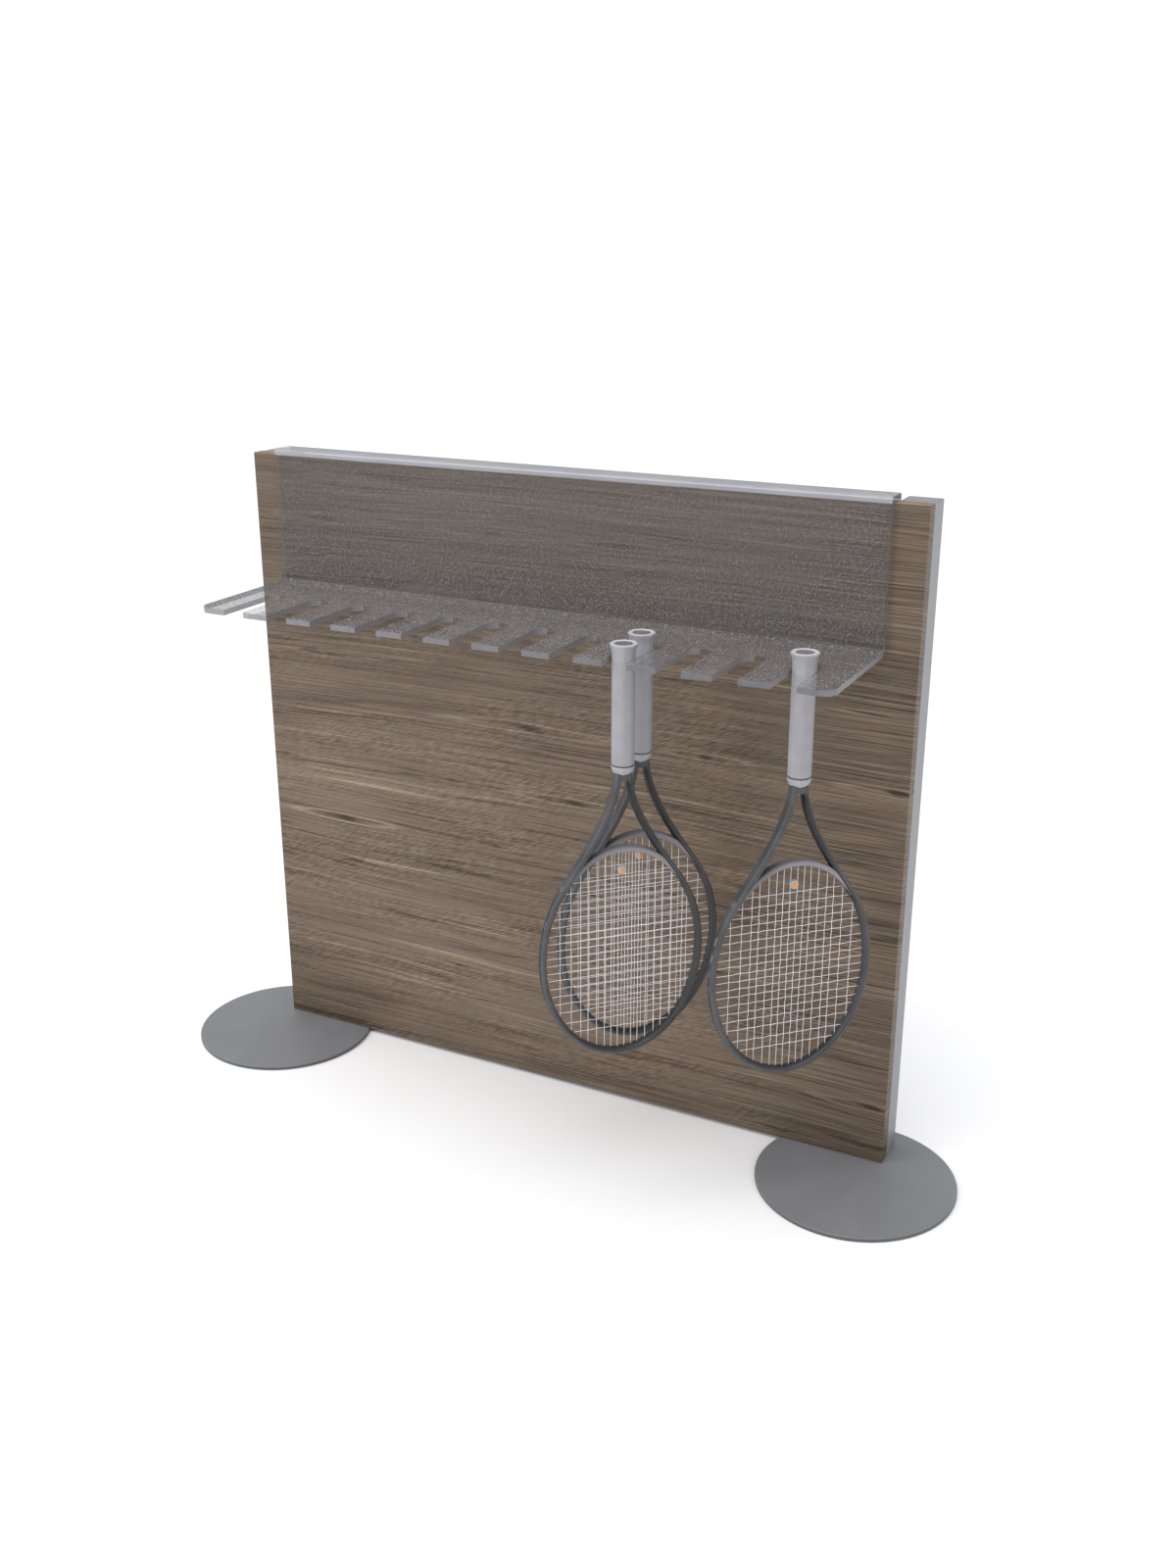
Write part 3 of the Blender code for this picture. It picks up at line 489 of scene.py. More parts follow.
def clear_edge(name, pale, deep, alpha, rim=0.0, light_falloff=False):
    """A cut edge of the acrylic sheet; rim sets a thin painted shade line along its upper corner, and the last flag
    paints light falling off: dimmer from the left end to the right, lighter near the right end."""
    n = Net(name)
    saw = n.noise(n.scaled(700.0, 700.0, 140.0), 1.0, 2.0)
    cloud = n.noise(n.at, 90.0, 3.0)
    # painted shade line along the upper corner
    top = n.mul(
        n.fit(n.z, RACK_LO[2] + 9.0 * MM, RACK_LO[2] + 9.5 * MM, 0.0, rim),
        n.fit(n.z, RACK_LO[2] + 10.2 * MM, RACK_LO[2] + 11.0 * MM, 1.0, 0.0),
    )
    base = n.mix(n.fit(cloud, 0.3, 0.7), deep, pale)
    if light_falloff:
        # painted light: dimmer from the left end to the right, lighter near the right end
        painted_light = n.add(
            n.fit(n.x, -0.50, 0.42, 0.82, 0.53, False),
            n.fit(n.x, RACK_HI[0] - 26 * MM, RACK_HI[0] - 10 * MM, 0.0, 0.20),
        )
        base = n.mix(1.0, base, n.vec(painted_light, painted_light, painted_light), "MULTIPLY")
    n.set(
        Base_Color=n.mix(top, base, (0.035, 0.035, 0.038, 1.0)),
        Alpha=n.add(alpha, n.mul(n.sub(saw, 0.5), alpha * 0.16), n.mul(top, 0.6)),
        Roughness=n.add(0.22, n.mul(saw, 0.2)),
        Specular_IOR_Level=0.3,
        Normal=n.bump(saw, 0.08, 0.05 * MM),
    )
    return n.mat


def clear_end():
    """The sheet's two end faces: pale along the shelf, grey-blue up the back plate, where painted light makes the left
    end lighter and clearer than the right.
    """
    n = Net("acrylic_end")
    saw = n.noise(n.scaled(300.0, 700.0, 300.0), 1.0, 2.0)
    cloud = n.noise(n.at, 70.0, 3.0)
    up = n.fit(n.z, RACK_LO[2] + 12 * MM, RACK_LO[2] + 30 * MM)
    shelf = n.mix(n.fit(cloud, 0.3, 0.7), (0.23, 0.228, 0.236, 1.0), (0.27, 0.267, 0.277, 1.0))
    plate = n.mix(n.fit(cloud, 0.3, 0.7), (0.150, 0.151, 0.158, 1.0), (0.180, 0.181, 0.188, 1.0))
    # painted light: the left end's plate part is made lighter and clearer
    far = n.fit(n.x, -0.2, 0.2, 1.0, 0.0)
    plate = n.mix(n.mul(far, 0.65), plate, (0.27, 0.275, 0.285, 1.0))
    n.set(
        Base_Color=n.mix(up, shelf, plate),
        Alpha=n.add(
            0.82,
            n.mul(up, n.add(-0.22, n.mul(far, -0.30))),
            n.mul(n.sub(saw, 0.5), 0.05),
        ),
        Roughness=n.add(0.24, n.mul(saw, 0.2)),
        Specular_IOR_Level=0.3,
        Normal=n.bump(saw, 0.08, 0.05 * MM),
    )
    return n.mat


def racket_paint(name, colour, rough, strength=1.0, other=None):
    """Sprayed lacquer on a carbon tube: faint weave under it, flakes, fine scuffs. The mesh's tone attribute says how
    far it has turned into the other colour; it also carries painted shade on the hoop's right side and at the bridge's
    left end. A painted shadow darkens the lower part of the rear racket."""
    n = Net(name)
    cloud = n.noise(n.at, 24.0, 3.0)
    flake = n.noise(n.at, 1500.0, 1.0)
    scuff = n.fit(n.noise(n.scaled(160.0, 160.0, 900.0), 1.0, 3.0, 0.7), 0.66, 0.76)
    weave = n.math(
        "MULTIPLY",
        n.math("SINE", n.mul(n.add(n.x, n.z), 2400.0)),
        n.math("SINE", n.mul(n.sub(n.x, n.z), 2400.0)),
    )
    pale = tuple(min(1.0, c * 1.22) for c in colour[:3]) + (1.0,)
    deep = tuple(c * 0.80 for c in colour[:3]) + (1.0,)
    base = n.mix(n.fit(cloud, 0.35, 0.65), deep, pale)
    base = n.mix(n.mul(n.fit(flake, 0.55, 0.75), 0.20 * strength), base, (0.35, 0.36, 0.38, 1.0))
    base = n.mix(n.mul(scuff, 0.12 * strength), base, (0.30, 0.30, 0.31, 1.0))
    if other:
        tone = n.node("ShaderNodeAttribute", attribute_name="tone").outputs["Fac"]
        ripple = n.fit(cloud, 0.3, 0.7, 0.94, 1.0)
        base = n.mix(tone, base, n.mix(ripple, (0.02, 0.02, 0.02, 1.0), other))
    # painted shadow: the lower part of the rear racket, behind the front racket, is painted up to about half darker
    rear = n.mul(n.fit(n.y, -0.085, -0.075), n.fit(n.x, 0.34, 0.36, 1.0, 0.0))
    rear = n.mul(rear, n.fit(n.z, 0.44, 0.56, 0.52, 0.0))
    base = n.mix(rear, base, (0.010, 0.0105, 0.012, 1.0))
    n.set(
        Base_Color=base,
        Roughness=n.add(rough, n.mul(n.sub(cloud, 0.5), 0.15), n.mul(scuff, 0.12)),
        Specular_IOR_Level=0.45,
        Coat_Weight=0.15,
        Coat_Roughness=0.25,
        Normal=n.bump(n.add(n.mul(weave, 0.25), flake), 0.05, 0.05 * MM),
    )
    return n


def grip_cover():
    """Matt light grey polyurethane tape: fine pores, slight soiling."""
    n = Net("grip_tape")
    pores = n.cells(n.scaled(1.0, 1.0, 1.0), 900.0)
    cloud = n.noise(n.at, 38.0, 3.0)
    soil = n.fit(n.noise(n.scaled(30.0, 30.0, 12.0), 1.0, 4.0, 0.6), 0.50, 0.75)
    fine = n.noise(n.at, 1400.0, 2.0)
    base = n.mix(
        n.fit(cloud, 0.35, 0.65),
        linear(157, 156, 161, LIGHT_FRONT),
        linear(162, 161, 166, LIGHT_FRONT),
    )
    base = n.mix(n.mul(soil, 0.06), base, linear(138, 136, 141, LIGHT_FRONT))
    base = n.mix(n.mul(n.fit(pores, 0.10, 0.32, 1.0, 0.0), 0.08), base, (0.16, 0.16, 0.17, 1.0))
    n.set(
        Base_Color=base,
        Roughness=n.add(0.66, n.mul(n.sub(fine, 0.5), 0.2)),
        Specular_IOR_Level=0.35,
        Normal=n.bump(n.add(pores, n.mul(fine, 0.5)), 0.14, 0.10 * MM),
    )
    return n.mat


def soft_rubber(name, pale, dark, rough=0.5, grain=700.0):
    n = Net(name)
    cloud = n.noise(n.at, 60.0, 3.0)
    fine = n.noise(n.at, grain, 3.0, 0.6)
    dirt = n.fit(n.noise(n.at, 150.0, 4.0, 0.7), 0.56, 0.72)
    base = n.mix(n.fit(cloud, 0.35, 0.65), dark, pale)
    deep = tuple(c * 0.55 for c in dark[:3]) + (1.0,)
    base = n.mix(n.mul(dirt, 0.14), base, deep)
    base = n.mix(n.mul(n.fit(fine, 0.56, 0.70), 0.12), base, deep)
    n.set(
        Base_Color=base,
        Roughness=n.add(rough, n.mul(n.sub(fine, 0.5), 0.25)),
        Specular_IOR_Level=0.4,
        Normal=n.bump(fine, 0.12, 0.08 * MM),
    )
    return n.mat


def string_finish():
    """White co-polymer string: a faint twist along it and small worn places."""
    n = Net("string_white")
    twist = n.math("SINE", n.add(n.mul(n.x, 5200.0), n.mul(n.z, 5200.0), n.mul(n.y, 4000.0)))
    mottle = n.fit(n.noise(n.at, 240.0, 3.0), 0.56, 0.70)
    cloud = n.noise(n.at, 70.0, 2.0)
    base = n.mix(n.fit(cloud, 0.35, 0.65), (0.80, 0.79, 0.82, 1.0), (0.90, 0.89, 0.91, 1.0))
    base = n.mix(n.mul(mottle, 0.18), base, (0.62, 0.61, 0.64, 1.0))
    n.set(
        Base_Color=base,
        Roughness=n.add(0.34, n.mul(mottle, 0.2)),
        Specular_IOR_Level=0.5,
        Normal=n.bump(twist, 0.10, 0.06 * MM),
    )
    return n.mat


def foam():
    n = Net("pallet_foam")
    cell = n.cells(n.at, 700.0)
    cloud = n.noise(n.at, 50.0, 3.0)
    n.set(
        Base_Color=n.mix(n.fit(cloud, 0.3, 0.7), (0.12, 0.115, 0.11, 1.0), (0.20, 0.19, 0.18, 1.0)),
        Roughness=n.add(0.80, n.mul(n.sub(cell, 0.4), 0.2)),
        Normal=n.bump(cell, 0.4, 0.2 * MM),
    )
    return n.mat


WOOD = wood()
GREY = painted(
    "painted_steel", linear(159, 161, 165, LIGHT_TOP), linear(155, 157, 161, LIGHT_TOP), 0.42
)
DISC = painted(
    "floor_plate_paint",
    linear(143, 144, 148, LIGHT_TOP),
    linear(139, 140, 144, LIGHT_TOP),
    0.38,
    PLATE_HI[2] - 0.5 * MM,
)
ZINC = zinc()
CLEAR = clear_face()
# the cut faces get copies of one acrylic finish: the wall copy is painted darker with the shade between the fingers,
# and the far-wall copy is darker still and nearly clear, with a painted shade line on its upper corner
CLEAR_EDGE = clear_edge(
    "acrylic_edge", (0.31, 0.31, 0.335, 1.0), (0.27, 0.27, 0.29, 1.0), 0.84, 0.0, True
)
CLEAR_WALL_SHADED = clear_edge("acrylic_wall_shaded", (0.225, 0.217, 0.226, 1.0), (0.195, 0.187, 0.194, 1.0), 0.74)
CLEAR_END = clear_end()
CLEAR_FAR_SHADED = clear_edge("acrylic_far_wall_shaded", (0.12, 0.12, 0.13, 1.0), (0.08, 0.08, 0.09, 1.0), 0.05, 1.0)
PAINT = racket_paint(
    "racket_paint", linear(69, 70, 72, LIGHT_FRONT * 1.12), 0.42, 1.0, (0.008, 0.0085, 0.010, 1.0)
).mat
PAINT_PALE = racket_paint(
    "racket_paint_bridge",
    linear(78, 79, 81, LIGHT_FRONT * 1.12),
    0.45,
    0.5,
    linear(145, 142, 146, LIGHT_FRONT),
).mat
GUARD = soft_rubber("bumper_plastic", (0.066, 0.070, 0.075, 1.0), (0.052, 0.056, 0.060, 1.0), 0.52)
STRING = string_finish()
GRIP = grip_cover()
CAP = soft_rubber(
    "cap_plastic",
    linear(168, 167, 172, LIGHT_FRONT),
    linear(163, 162, 167, LIGHT_FRONT),
    0.48,
    900.0,
)
# painted light: a lighter copy of the cap plastic for the rim on the cap's upward end, where light from above falls
CAP_RIM_LIT = soft_rubber(
    "cap_rim_lit",
    linear(196, 195, 200, LIGHT_FRONT),
    linear(188, 187, 192, LIGHT_FRONT),
    0.42,
    900.0,
)
CAP_DARK = soft_rubber("cap_recess", (0.17, 0.17, 0.18, 1.0), (0.12, 0.12, 0.13, 1.0), 0.5)
RING = soft_rubber("collar_tape", (0.085, 0.085, 0.093, 1.0), (0.065, 0.065, 0.072, 1.0), 0.5)
COLLAR = soft_rubber(
    "collar_rubber",
    linear(170, 169, 174, LIGHT_FRONT),
    linear(162, 161, 166, LIGHT_FRONT),
    0.55,
)
FOAM = foam()
ORANGE = soft_rubber("dampener_orange", (0.80, 0.30, 0.03, 1.0), (0.70, 0.24, 0.02, 1.0), 0.45)
BLUE_GREY = soft_rubber("dampener_rim", (0.44, 0.48, 0.54, 1.0), (0.36, 0.40, 0.46, 1.0), 0.45)

# ---- CAD nodes that keep their shape --------------------------------------------


def dress(node, mat):
    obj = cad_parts[node]
    if not obj.material_slots:
        obj.data.materials.append(mat)
    for one in obj.material_slots:
        one.material = mat


dress("face_board", WOOD)
for name in (
    "frame_upright_left",
    "frame_upright_right",
    "frame_top_rail",
    "frame_mid_rail",
    "frame_bottom_rail",
    "back_sheet",
):
    dress(name, GREY)
for name in ("base_plate_left", "base_plate_right"):
    dress(name, DISC)
# ---- mesh helpers ----------------------------------------------------------------


def mesh_from(bm, name, mats, smooth=35.0, recalc=True):
    if recalc:
        bmesh.ops.recalc_face_normals(bm, faces=bm.faces)
    mesh = bpy.data.meshes.new(name)
    bm.to_mesh(mesh)
    bm.free()
    for m in mats:
        mesh.materials.append(m)
    mesh.shade_smooth()
    mesh.set_sharp_from_angle(angle=math.radians(smooth))
    return mesh


def place(name, mesh, body, slot, replaced=(), at=None):
    if at is not None:
        mesh = mesh.copy()
        mesh.transform(at)
    obj = bpy.data.objects.new(name, mesh)
    scene.collection.objects.link(obj)
    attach(obj, body)
    if replaced:
        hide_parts(*replaced)
    return obj


def skin(bm, rings, closed=False, mats=None, caps=True):
    """Quads between equal rings; mats gives a material index for each place round a ring."""
    rows = [[bm.verts.new(p) for p in ring] for ring in rings]
    count = len(rows[0])
    pairs = list(zip(rows, rows[1:]))
    if closed:
        pairs.append((rows[-1], rows[0]))
    for k, (a, b) in enumerate(pairs):
        for i in range(count):
            j = (i + 1) % count
            face = bm.faces.new((a[i], a[j], b[j], b[i]))
            if mats:
                face.material_index = mats(k, i) if callable(mats) else mats[i]
    if not closed and caps:
        bm.faces.new(rows[0][::-1])
        bm.faces.new(rows[-1])
    return rows


def tube(bm, points, radius, sides=6, up=Vector((0, 1, 0)), mat=0):
    """A round bar along points that lie roughly in a plane whose normal is up."""
    rings = []
    for i, p in enumerate(points):
        run = (points[min(i + 1, len(points) - 1)] - points[max(i - 1, 0)]).normalized()
        side = run.cross(up).normalized()
        top = side.cross(run)
        rings.append(
            [
                p + (side * math.cos(a) + top * math.sin(a)) * radius
                for a in (2 * math.pi * k / sides for k in range(sides))
            ]
        )
    skin(bm, rings, mats=[mat] * sides)


def bool_mesh(mesh, tools, operation):
    """The mesh after exact Booleans with each tool mesh; the helpers are removed."""
    obj = bpy.data.objects.new("work", mesh)
    scene.collection.objects.link(obj)
    helpers = []
    for tool in tools:
        other = bpy.data.objects.new("tool", tool)
        scene.collection.objects.link(other)
        helpers.append(other)
        change = obj.modifiers.new("change", "BOOLEAN")
        change.operation = operation
        change.solver = "EXACT"
        change.object = other
    bpy.context.view_layer.update()
    made = bpy.data.meshes.new_from_object(
        obj.evaluated_get(bpy.context.evaluated_depsgraph_get())
    )
    for o in [obj] + helpers:
        bpy.data.objects.remove(o, do_unlink=True)
    return made


# ---- screws: turned heads with a cross recess, and threads ------------------------


def screw_mesh(name, head, shaft, length, pitch, drive):
    """Screw along +Z with the top of its head at 0; head is (depth, radius) pairs, drive is
    the recess's (half length, half width, depth)."""
    sides = 20
    rings = [
        [
            (r * MM * math.cos(2 * math.pi * i / sides), r * MM * math.sin(2 * math.pi * i / sides), -d * MM)
            for i in range(sides)
        ]
        for d, r in head
    ]
    start = head[-1][0]
    rows = round((length - start) / pitch * 6)
    for k in range(1, rows + 1):
        d = start + (length - start) * k / rows
        point = min(1.0, 0.30 + 0.70 * (length - d) / (3.2 * shaft))
        ring = []
        for i in range(sides):
            phase = (d / pitch + i / sides) % 1.0
            r = shaft * (0.76 + 0.24 * (1 - abs(2 * phase - 1)) ** 1.4) * point * MM
            a = 2 * math.pi * i / sides
            ring.append((r * math.cos(a), r * math.sin(a), -d * MM))
        rings.append(ring)
    bm = bmesh.new()
    skin(bm, rings)
    body = mesh_from(bm, name, [ZINC], 40)
    reach, half, deep = drive
    cross = []
    for z, k in ((0.6, 1.12), (-deep, 0.55)):
        r, w = reach * k, half * (0.55 + 0.45 * k)
        cross.append(
            [
                (x * MM, y * MM, z * MM)
                for x, y in (
                    (r, -w), (r, w), (w, w), (w, r), (-w, r), (-w, w),
                    (-r, w), (-r, -w), (-w, -w), (-w, -r), (w, -r), (w, -w),
                )
            ]
        )
    bm = bmesh.new()
    skin(bm, cross)
    made = bool_mesh(body, [mesh_from(bm, "cross", [ZINC], 40)], "DIFFERENCE")
    made.shade_smooth()
    made.set_sharp_from_angle(angle=math.radians(38))
    made.name = name
    return made


FLAT_HEAD = ((0.0, 0.6), (0.0, 5.5), (0.25, 6.0), (0.6, 6.0), (3.7, 2.9))
PAN_HEAD = ((0.0, 0.4), (0.06, 1.5), (0.35, 2.7), (0.8, 3.5), (1.25, 3.85), (1.6, 3.85), (1.68, 1.9))
ROUND_HEAD = ((0.0, 0.4), (0.10, 2.0), (0.5, 3.2), (1.0, 3.9), (1.6, 4.2), (2.02, 4.2), (2.1, 1.9))
BACKWARDS = Matrix.Rotation(math.radians(-90), 4, "X")
for kind, count, head, shaft, pitch, drive, turn in (
    ("base_screw", 8, FLAT_HEAD, 2.9, 1.9, (2.9, 0.62, 2.3), Matrix.Rotation(math.pi, 4, "X")),
    ("board_screw", 6, ROUND_HEAD, 1.95, 1.5, (2.3, 0.48, 1.5), BACKWARDS),
    ("back_screw", 8, PAN_HEAD, 1.95, 1.4, (2.1, 0.45, 1.2), BACKWARDS),
):
    lo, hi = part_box(f"{kind}_1")
    size = (hi.z - lo.z if kind == "base_screw" else hi.y - lo.y) / MM - 0.1
    mesh = screw_mesh(kind, head, shaft, size, pitch, drive)
    for i in range(1, count + 1):
        lo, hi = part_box(f"{kind}_{i}")
        mid = (lo + hi) / 2
        top = (mid.x, mid.y, lo.z) if kind == "base_screw" else (mid.x, hi.y, mid.z)
        at = Matrix.Translation(top) @ turn @ Matrix.Rotation(0.7 * i, 4, "Z")
        place(f"{kind}_{i}_turned", mesh, "panel", "zinc", [f"{kind}_{i}"], at)

# ---- clear rack: bent sheet with polished edges -----------------------------------

RACK_T = 10 * MM
BEND_R = 5 * MM
RACK_HALF = RACK_HI[0]
FRONT = RACK_LO[1]
SHELF = RACK_LO[2] + RACK_T
PLATE1 = FACE - GAP
PLATE0 = PLATE1 - RACK_T
OVER0 = BOARD_HI[2] + GAP
OVER1 = OVER0 + RACK_T
LEG0 = BOARD_HI[1] + GAP
LEG1 = LEG0 + RACK_T
LEG_Z = BOARD_HI[2] - 60 * MM
PITCH_X, SLOT_W, SLOT_DEPTH, CORNER_R = 88.4 * MM, 40 * MM, 131.1 * MM, 22 * MM
SLOTS = [PITCH_X * (i - 5.5) for i in range(12)]


def arc(cy, cz, r, a0, a1, steps):
    return [
        (
            cy + r * math.cos(math.radians(a0 + (a1 - a0) * i / steps)),
            cz + r * math.sin(math.radians(a0 + (a1 - a0) * i / steps)),
        )
        for i in range(steps + 1)
    ]


def rack_mesh():
    outline = (
        [(FRONT, SHELF - RACK_T)]
        + arc(PLATE1 - BEND_R - RACK_T, SHELF + BEND_R, BEND_R + RACK_T, -90, 0, 16)
        + [(PLATE1, OVER0 - 0.8 * MM), (PLATE1 + 0.8 * MM, OVER0)]
        + [(LEG0 - 0.8 * MM, OVER0), (LEG0, OVER0 - 0.8 * MM)]
        + [(LEG0, LEG_Z), (LEG1, LEG_Z)]
        + arc(LEG1 - 4 * MM, OVER1 - 4 * MM, 4 * MM, 0, 90, 10)
        + arc(PLATE0 + 4 * MM, OVER1 - 4 * MM, 4 * MM, 90, 180, 10)
        + arc(PLATE0 - BEND_R, SHELF + BEND_R, BEND_R, 0, -90, 10)
        + [(FRONT, SHELF)]
    )
    bm = bmesh.new()
    skin(bm, [[(x, y, z) for y, z in outline] for x in (-RACK_HALF, RACK_HALF)])
    sheet = mesh_from(bm, "sheet", [CLEAR])
    bm = bmesh.new()
    z0, z1 = SHELF - RACK_T - 5 * MM, SHELF + 5 * MM
    r = SLOT_W / 2
    end = FRONT + SLOT_DEPTH - r
    for cx in SLOTS:
        shape = [(cx - r, FRONT - 5 * MM), (cx + r, FRONT - 5 * MM)] + [
            (cx + r * math.cos(math.pi * i / 28), end + r * math.sin(math.pi * i / 28))
            for i in range(29)
        ]
        skin(bm, [[(x, y, z) for x, y in shape] for z in (z0, z1)])
    for side in (-1, 1):
        cx, cy = side * (RACK_HALF - CORNER_R), FRONT + CORNER_R
        turn = [
            (cx + side * CORNER_R * math.sin(a), cy - CORNER_R * math.cos(a))
            for a in (math.pi / 2 * i / 14 for i in range(15))
        ]
        far = RACK_HALF + 5 * MM
        shape = turn + [(side * far, cy), (side * far, FRONT - 5 * MM), (turn[0][0], FRONT - 5 * MM)]
        skin(bm, [[(x, y, z) for x, y in shape] for z in (z0, z1)])
    tool = mesh_from(bm, "slots", [CLEAR_EDGE])
    made = bool_mesh(sheet, [tool], "DIFFERENCE")
    made.materials.clear()
    for mat in (CLEAR, CLEAR_EDGE, CLEAR_WALL_SHADED, CLEAR_FAR_SHADED, CLEAR_END):
        made.materials.append(mat)
    # cut faces get the edge, wall or far-wall copy by the way they face; the wall and far-wall copies carry painted
    # shade
    for face in made.polygons:
        c, normal = face.center, face.normal
        shelf_cut = c.y < PLATE0 - 20 * MM and abs(normal.z) < 0.5
        kind = 0
        if shelf_cut and normal.y < -0.7 and c.y < FRONT + 2 * MM:
            kind = 1
        elif shelf_cut and c.x > RACK_HALF - CORNER_R - 2 * MM:
            kind = 1
        elif shelf_cut and (normal.x > 0.25 or (c.y < FRONT + CORNER_R and c.x < -RACK_HALF + CORNER_R)):
            kind = 2
        elif shelf_cut:
            kind = 3
        elif abs(normal.x) > 0.4:
            kind = 4
        elif c.y > LEG0 - 1 * MM and normal.z < -0.9 and c.z < LEG_Z + 1 * MM:
            kind = 1
        face.material_index = kind
    made.shade_smooth()
    made.set_sharp_from_angle(angle=math.radians(30))
    made.name = "rack_sheet"
    return made


rack = place("rack_sheet", rack_mesh(), "rack", "clear_sheet", ["display_rack"])
edge = rack.modifiers.new("polished_edges", "BEVEL")
edge.width = 0.35 * MM
edge.segments = 2
edge.material = 0
edge.limit_method = "ANGLE"
edge.angle_limit = math.radians(40)
edge.harden_normals = False

# ---- rackets ---------------------------------------------------------------------
# Local frame of a racket: origin at the middle of its butt end, +X across the face,
# +Y through it, -Z towards the tip; v is the distance from the butt end.

HEAD_MID, HEAD_A, HEAD_TOP, HEAD_TIP, TIP_POWER = 514.6 * MM, 126.6 * MM, 179 * MM, 167.8 * MM, 2.0
TUBE_T, TUBE_B, LEG_T, LEG_B, LEG_END_T = 9.7 * MM, 18.8 * MM, 11.6 * MM, 19.8 * MM, 9.5 * MM
JOIN_V = 404.6 * MM
GUARD_ANGLE = 118
STRING_R = 0.46 * MM
LOOP_R = 0.38 * MM
GRIP_FLATS, PALLET_FLATS = 34.8 * MM, 30.4 * MM
GROOVE_D, GROOVE_W = 1.3 * MM, 4.1 * MM
# from the middle outwards: the half gap, then the gaps between the main strings
MAIN_GAPS = (5.7, 11.6, 11.0, 13.5, 14.6, 12.2, 16.0, 18.6)
# the first cross string, then the gaps towards the tip
CROSS_GAPS = (
    381.0, 17.0, 15.0, 13.5, 13.2, 13.3, 15.0, 13.0, 13.0, 13.0,
    12.7, 13.3, 13.0, 14.5, 14.5, 14.0, 16.0, 20.3, 17.7,
)


def egg(angle, grow=0.0):
    s, c = math.sin(angle), math.cos(angle)
    a = HEAD_A + grow
    b, power = (HEAD_TIP + grow, TIP_POWER) if c >= 0 else (HEAD_TOP + grow, 2.0)
    return Vector(
        (
            a * math.copysign(abs(s) ** (2 / power), s),
            HEAD_MID + b * math.copysign(abs(c) ** (2 / power), c),
        )
    )


def half_width(v):
    d = v - HEAD_MID
    b, power = (HEAD_TIP, TIP_POWER) if d >= 0 else (HEAD_TOP, 2.0)
    return HEAD_A * max(0.0, 1 - (abs(d) / b) ** power) ** (1 / power)


def head_v(u, to_tip):
    b, power = (HEAD_TIP, TIP_POWER) if to_tip else (HEAD_TOP, 2.0)
    reach = b * max(0.0, 1 - (abs(u) / HEAD_A) ** power) ** (1 / power)
    return HEAD_MID + reach if to_tip else HEAD_MID - reach


def throat_angle(v, grow):
    return math.pi - math.acos((HEAD_MID - v) / (HEAD_TOP + grow))


def even_angles(start, end, steps, grow):
    """Angles whose points on the outline are evenly spaced."""
    fine = [start + (end - start) * i / 1200 for i in range(1201)]
    places = [egg(a, grow) for a in fine]
    run = [0.0]
    for p, q in zip(places, places[1:]):
        run.append(run[-1] + (q - p).length)
    made, k = [], 0
    for i in range(steps + 1):
        want = run[-1] * i / steps
        while k < len(run) - 2 and run[k + 1] < want:
            k += 1
        share = (want - run[k]) / max(1e-12, run[k + 1] - run[k])
        made.append(fine[k] + (fine[k + 1] - fine[k]) * min(1.0, share))
    return made


def bezier(p0, p1, p2, p3, steps):
    return [
        p0 * (1 - t) ** 3 + p1 * 3 * t * (1 - t) ** 2 + p2 * 3 * t * t * (1 - t) + p3 * t**3
        for t in (i / steps for i in range(steps + 1))
    ]


def tangents(path):
    return [
        (path[min(i + 1, len(path) - 1)] - path[max(i - 1, 0)]).normalized()
        for i in range(len(path))
    ]


def section(t, b, groove):
    """Beam section as (out, depth) points: boxy outside with the string groove, rounder inside."""

    def on(deg):
        s, c = math.sin(math.radians(deg)), math.cos(math.radians(deg))
        power = 3.4 if c > 0 else 2.15
        return (
            t / 2 * math.copysign(abs(c) ** (2 / power), c),
            b / 2 * math.copysign(abs(s) ** (2 / power), s),
        )

    points = [on(d) for d in (-90, -80, -68, -55, -43, -32)]
    lip = t / 2 * (1 - (GROOVE_W / (b / 2)) ** 3.4) ** (1 / 3.4)
    inner = GROOVE_W - 0.35 * MM
    points += [(lip, -GROOVE_W), (lip - groove, -inner), (lip - groove, inner), (lip, GROOVE_W)]
    points += [on(d) for d in (32, 43, 55, 68, 80, 90)]
    points += [on(d) for d in (101, 112, 124, 137, 151, 166, 180, 194, 209, 223, 236, 248, 259)]
    return points


OUTER = TUBE_T / 2


def frame_path():
    start = throat_angle(JOIN_V, OUTER)
    hoop = [egg(a, OUTER) for a in even_angles(start, -start, 132, OUTER)]
    leg = bezier(
        hoop[0],
        Vector((85.4 * MM, 370 * MM)),
        Vector((8.4 * MM, 276.7 * MM)),
        Vector((8.4 * MM, 203 * MM)),
        36,
    )
    left = [Vector((-p.x, p.y)) for p in leg]
    return leg[::-1][:-1] + hoop + left[1:]


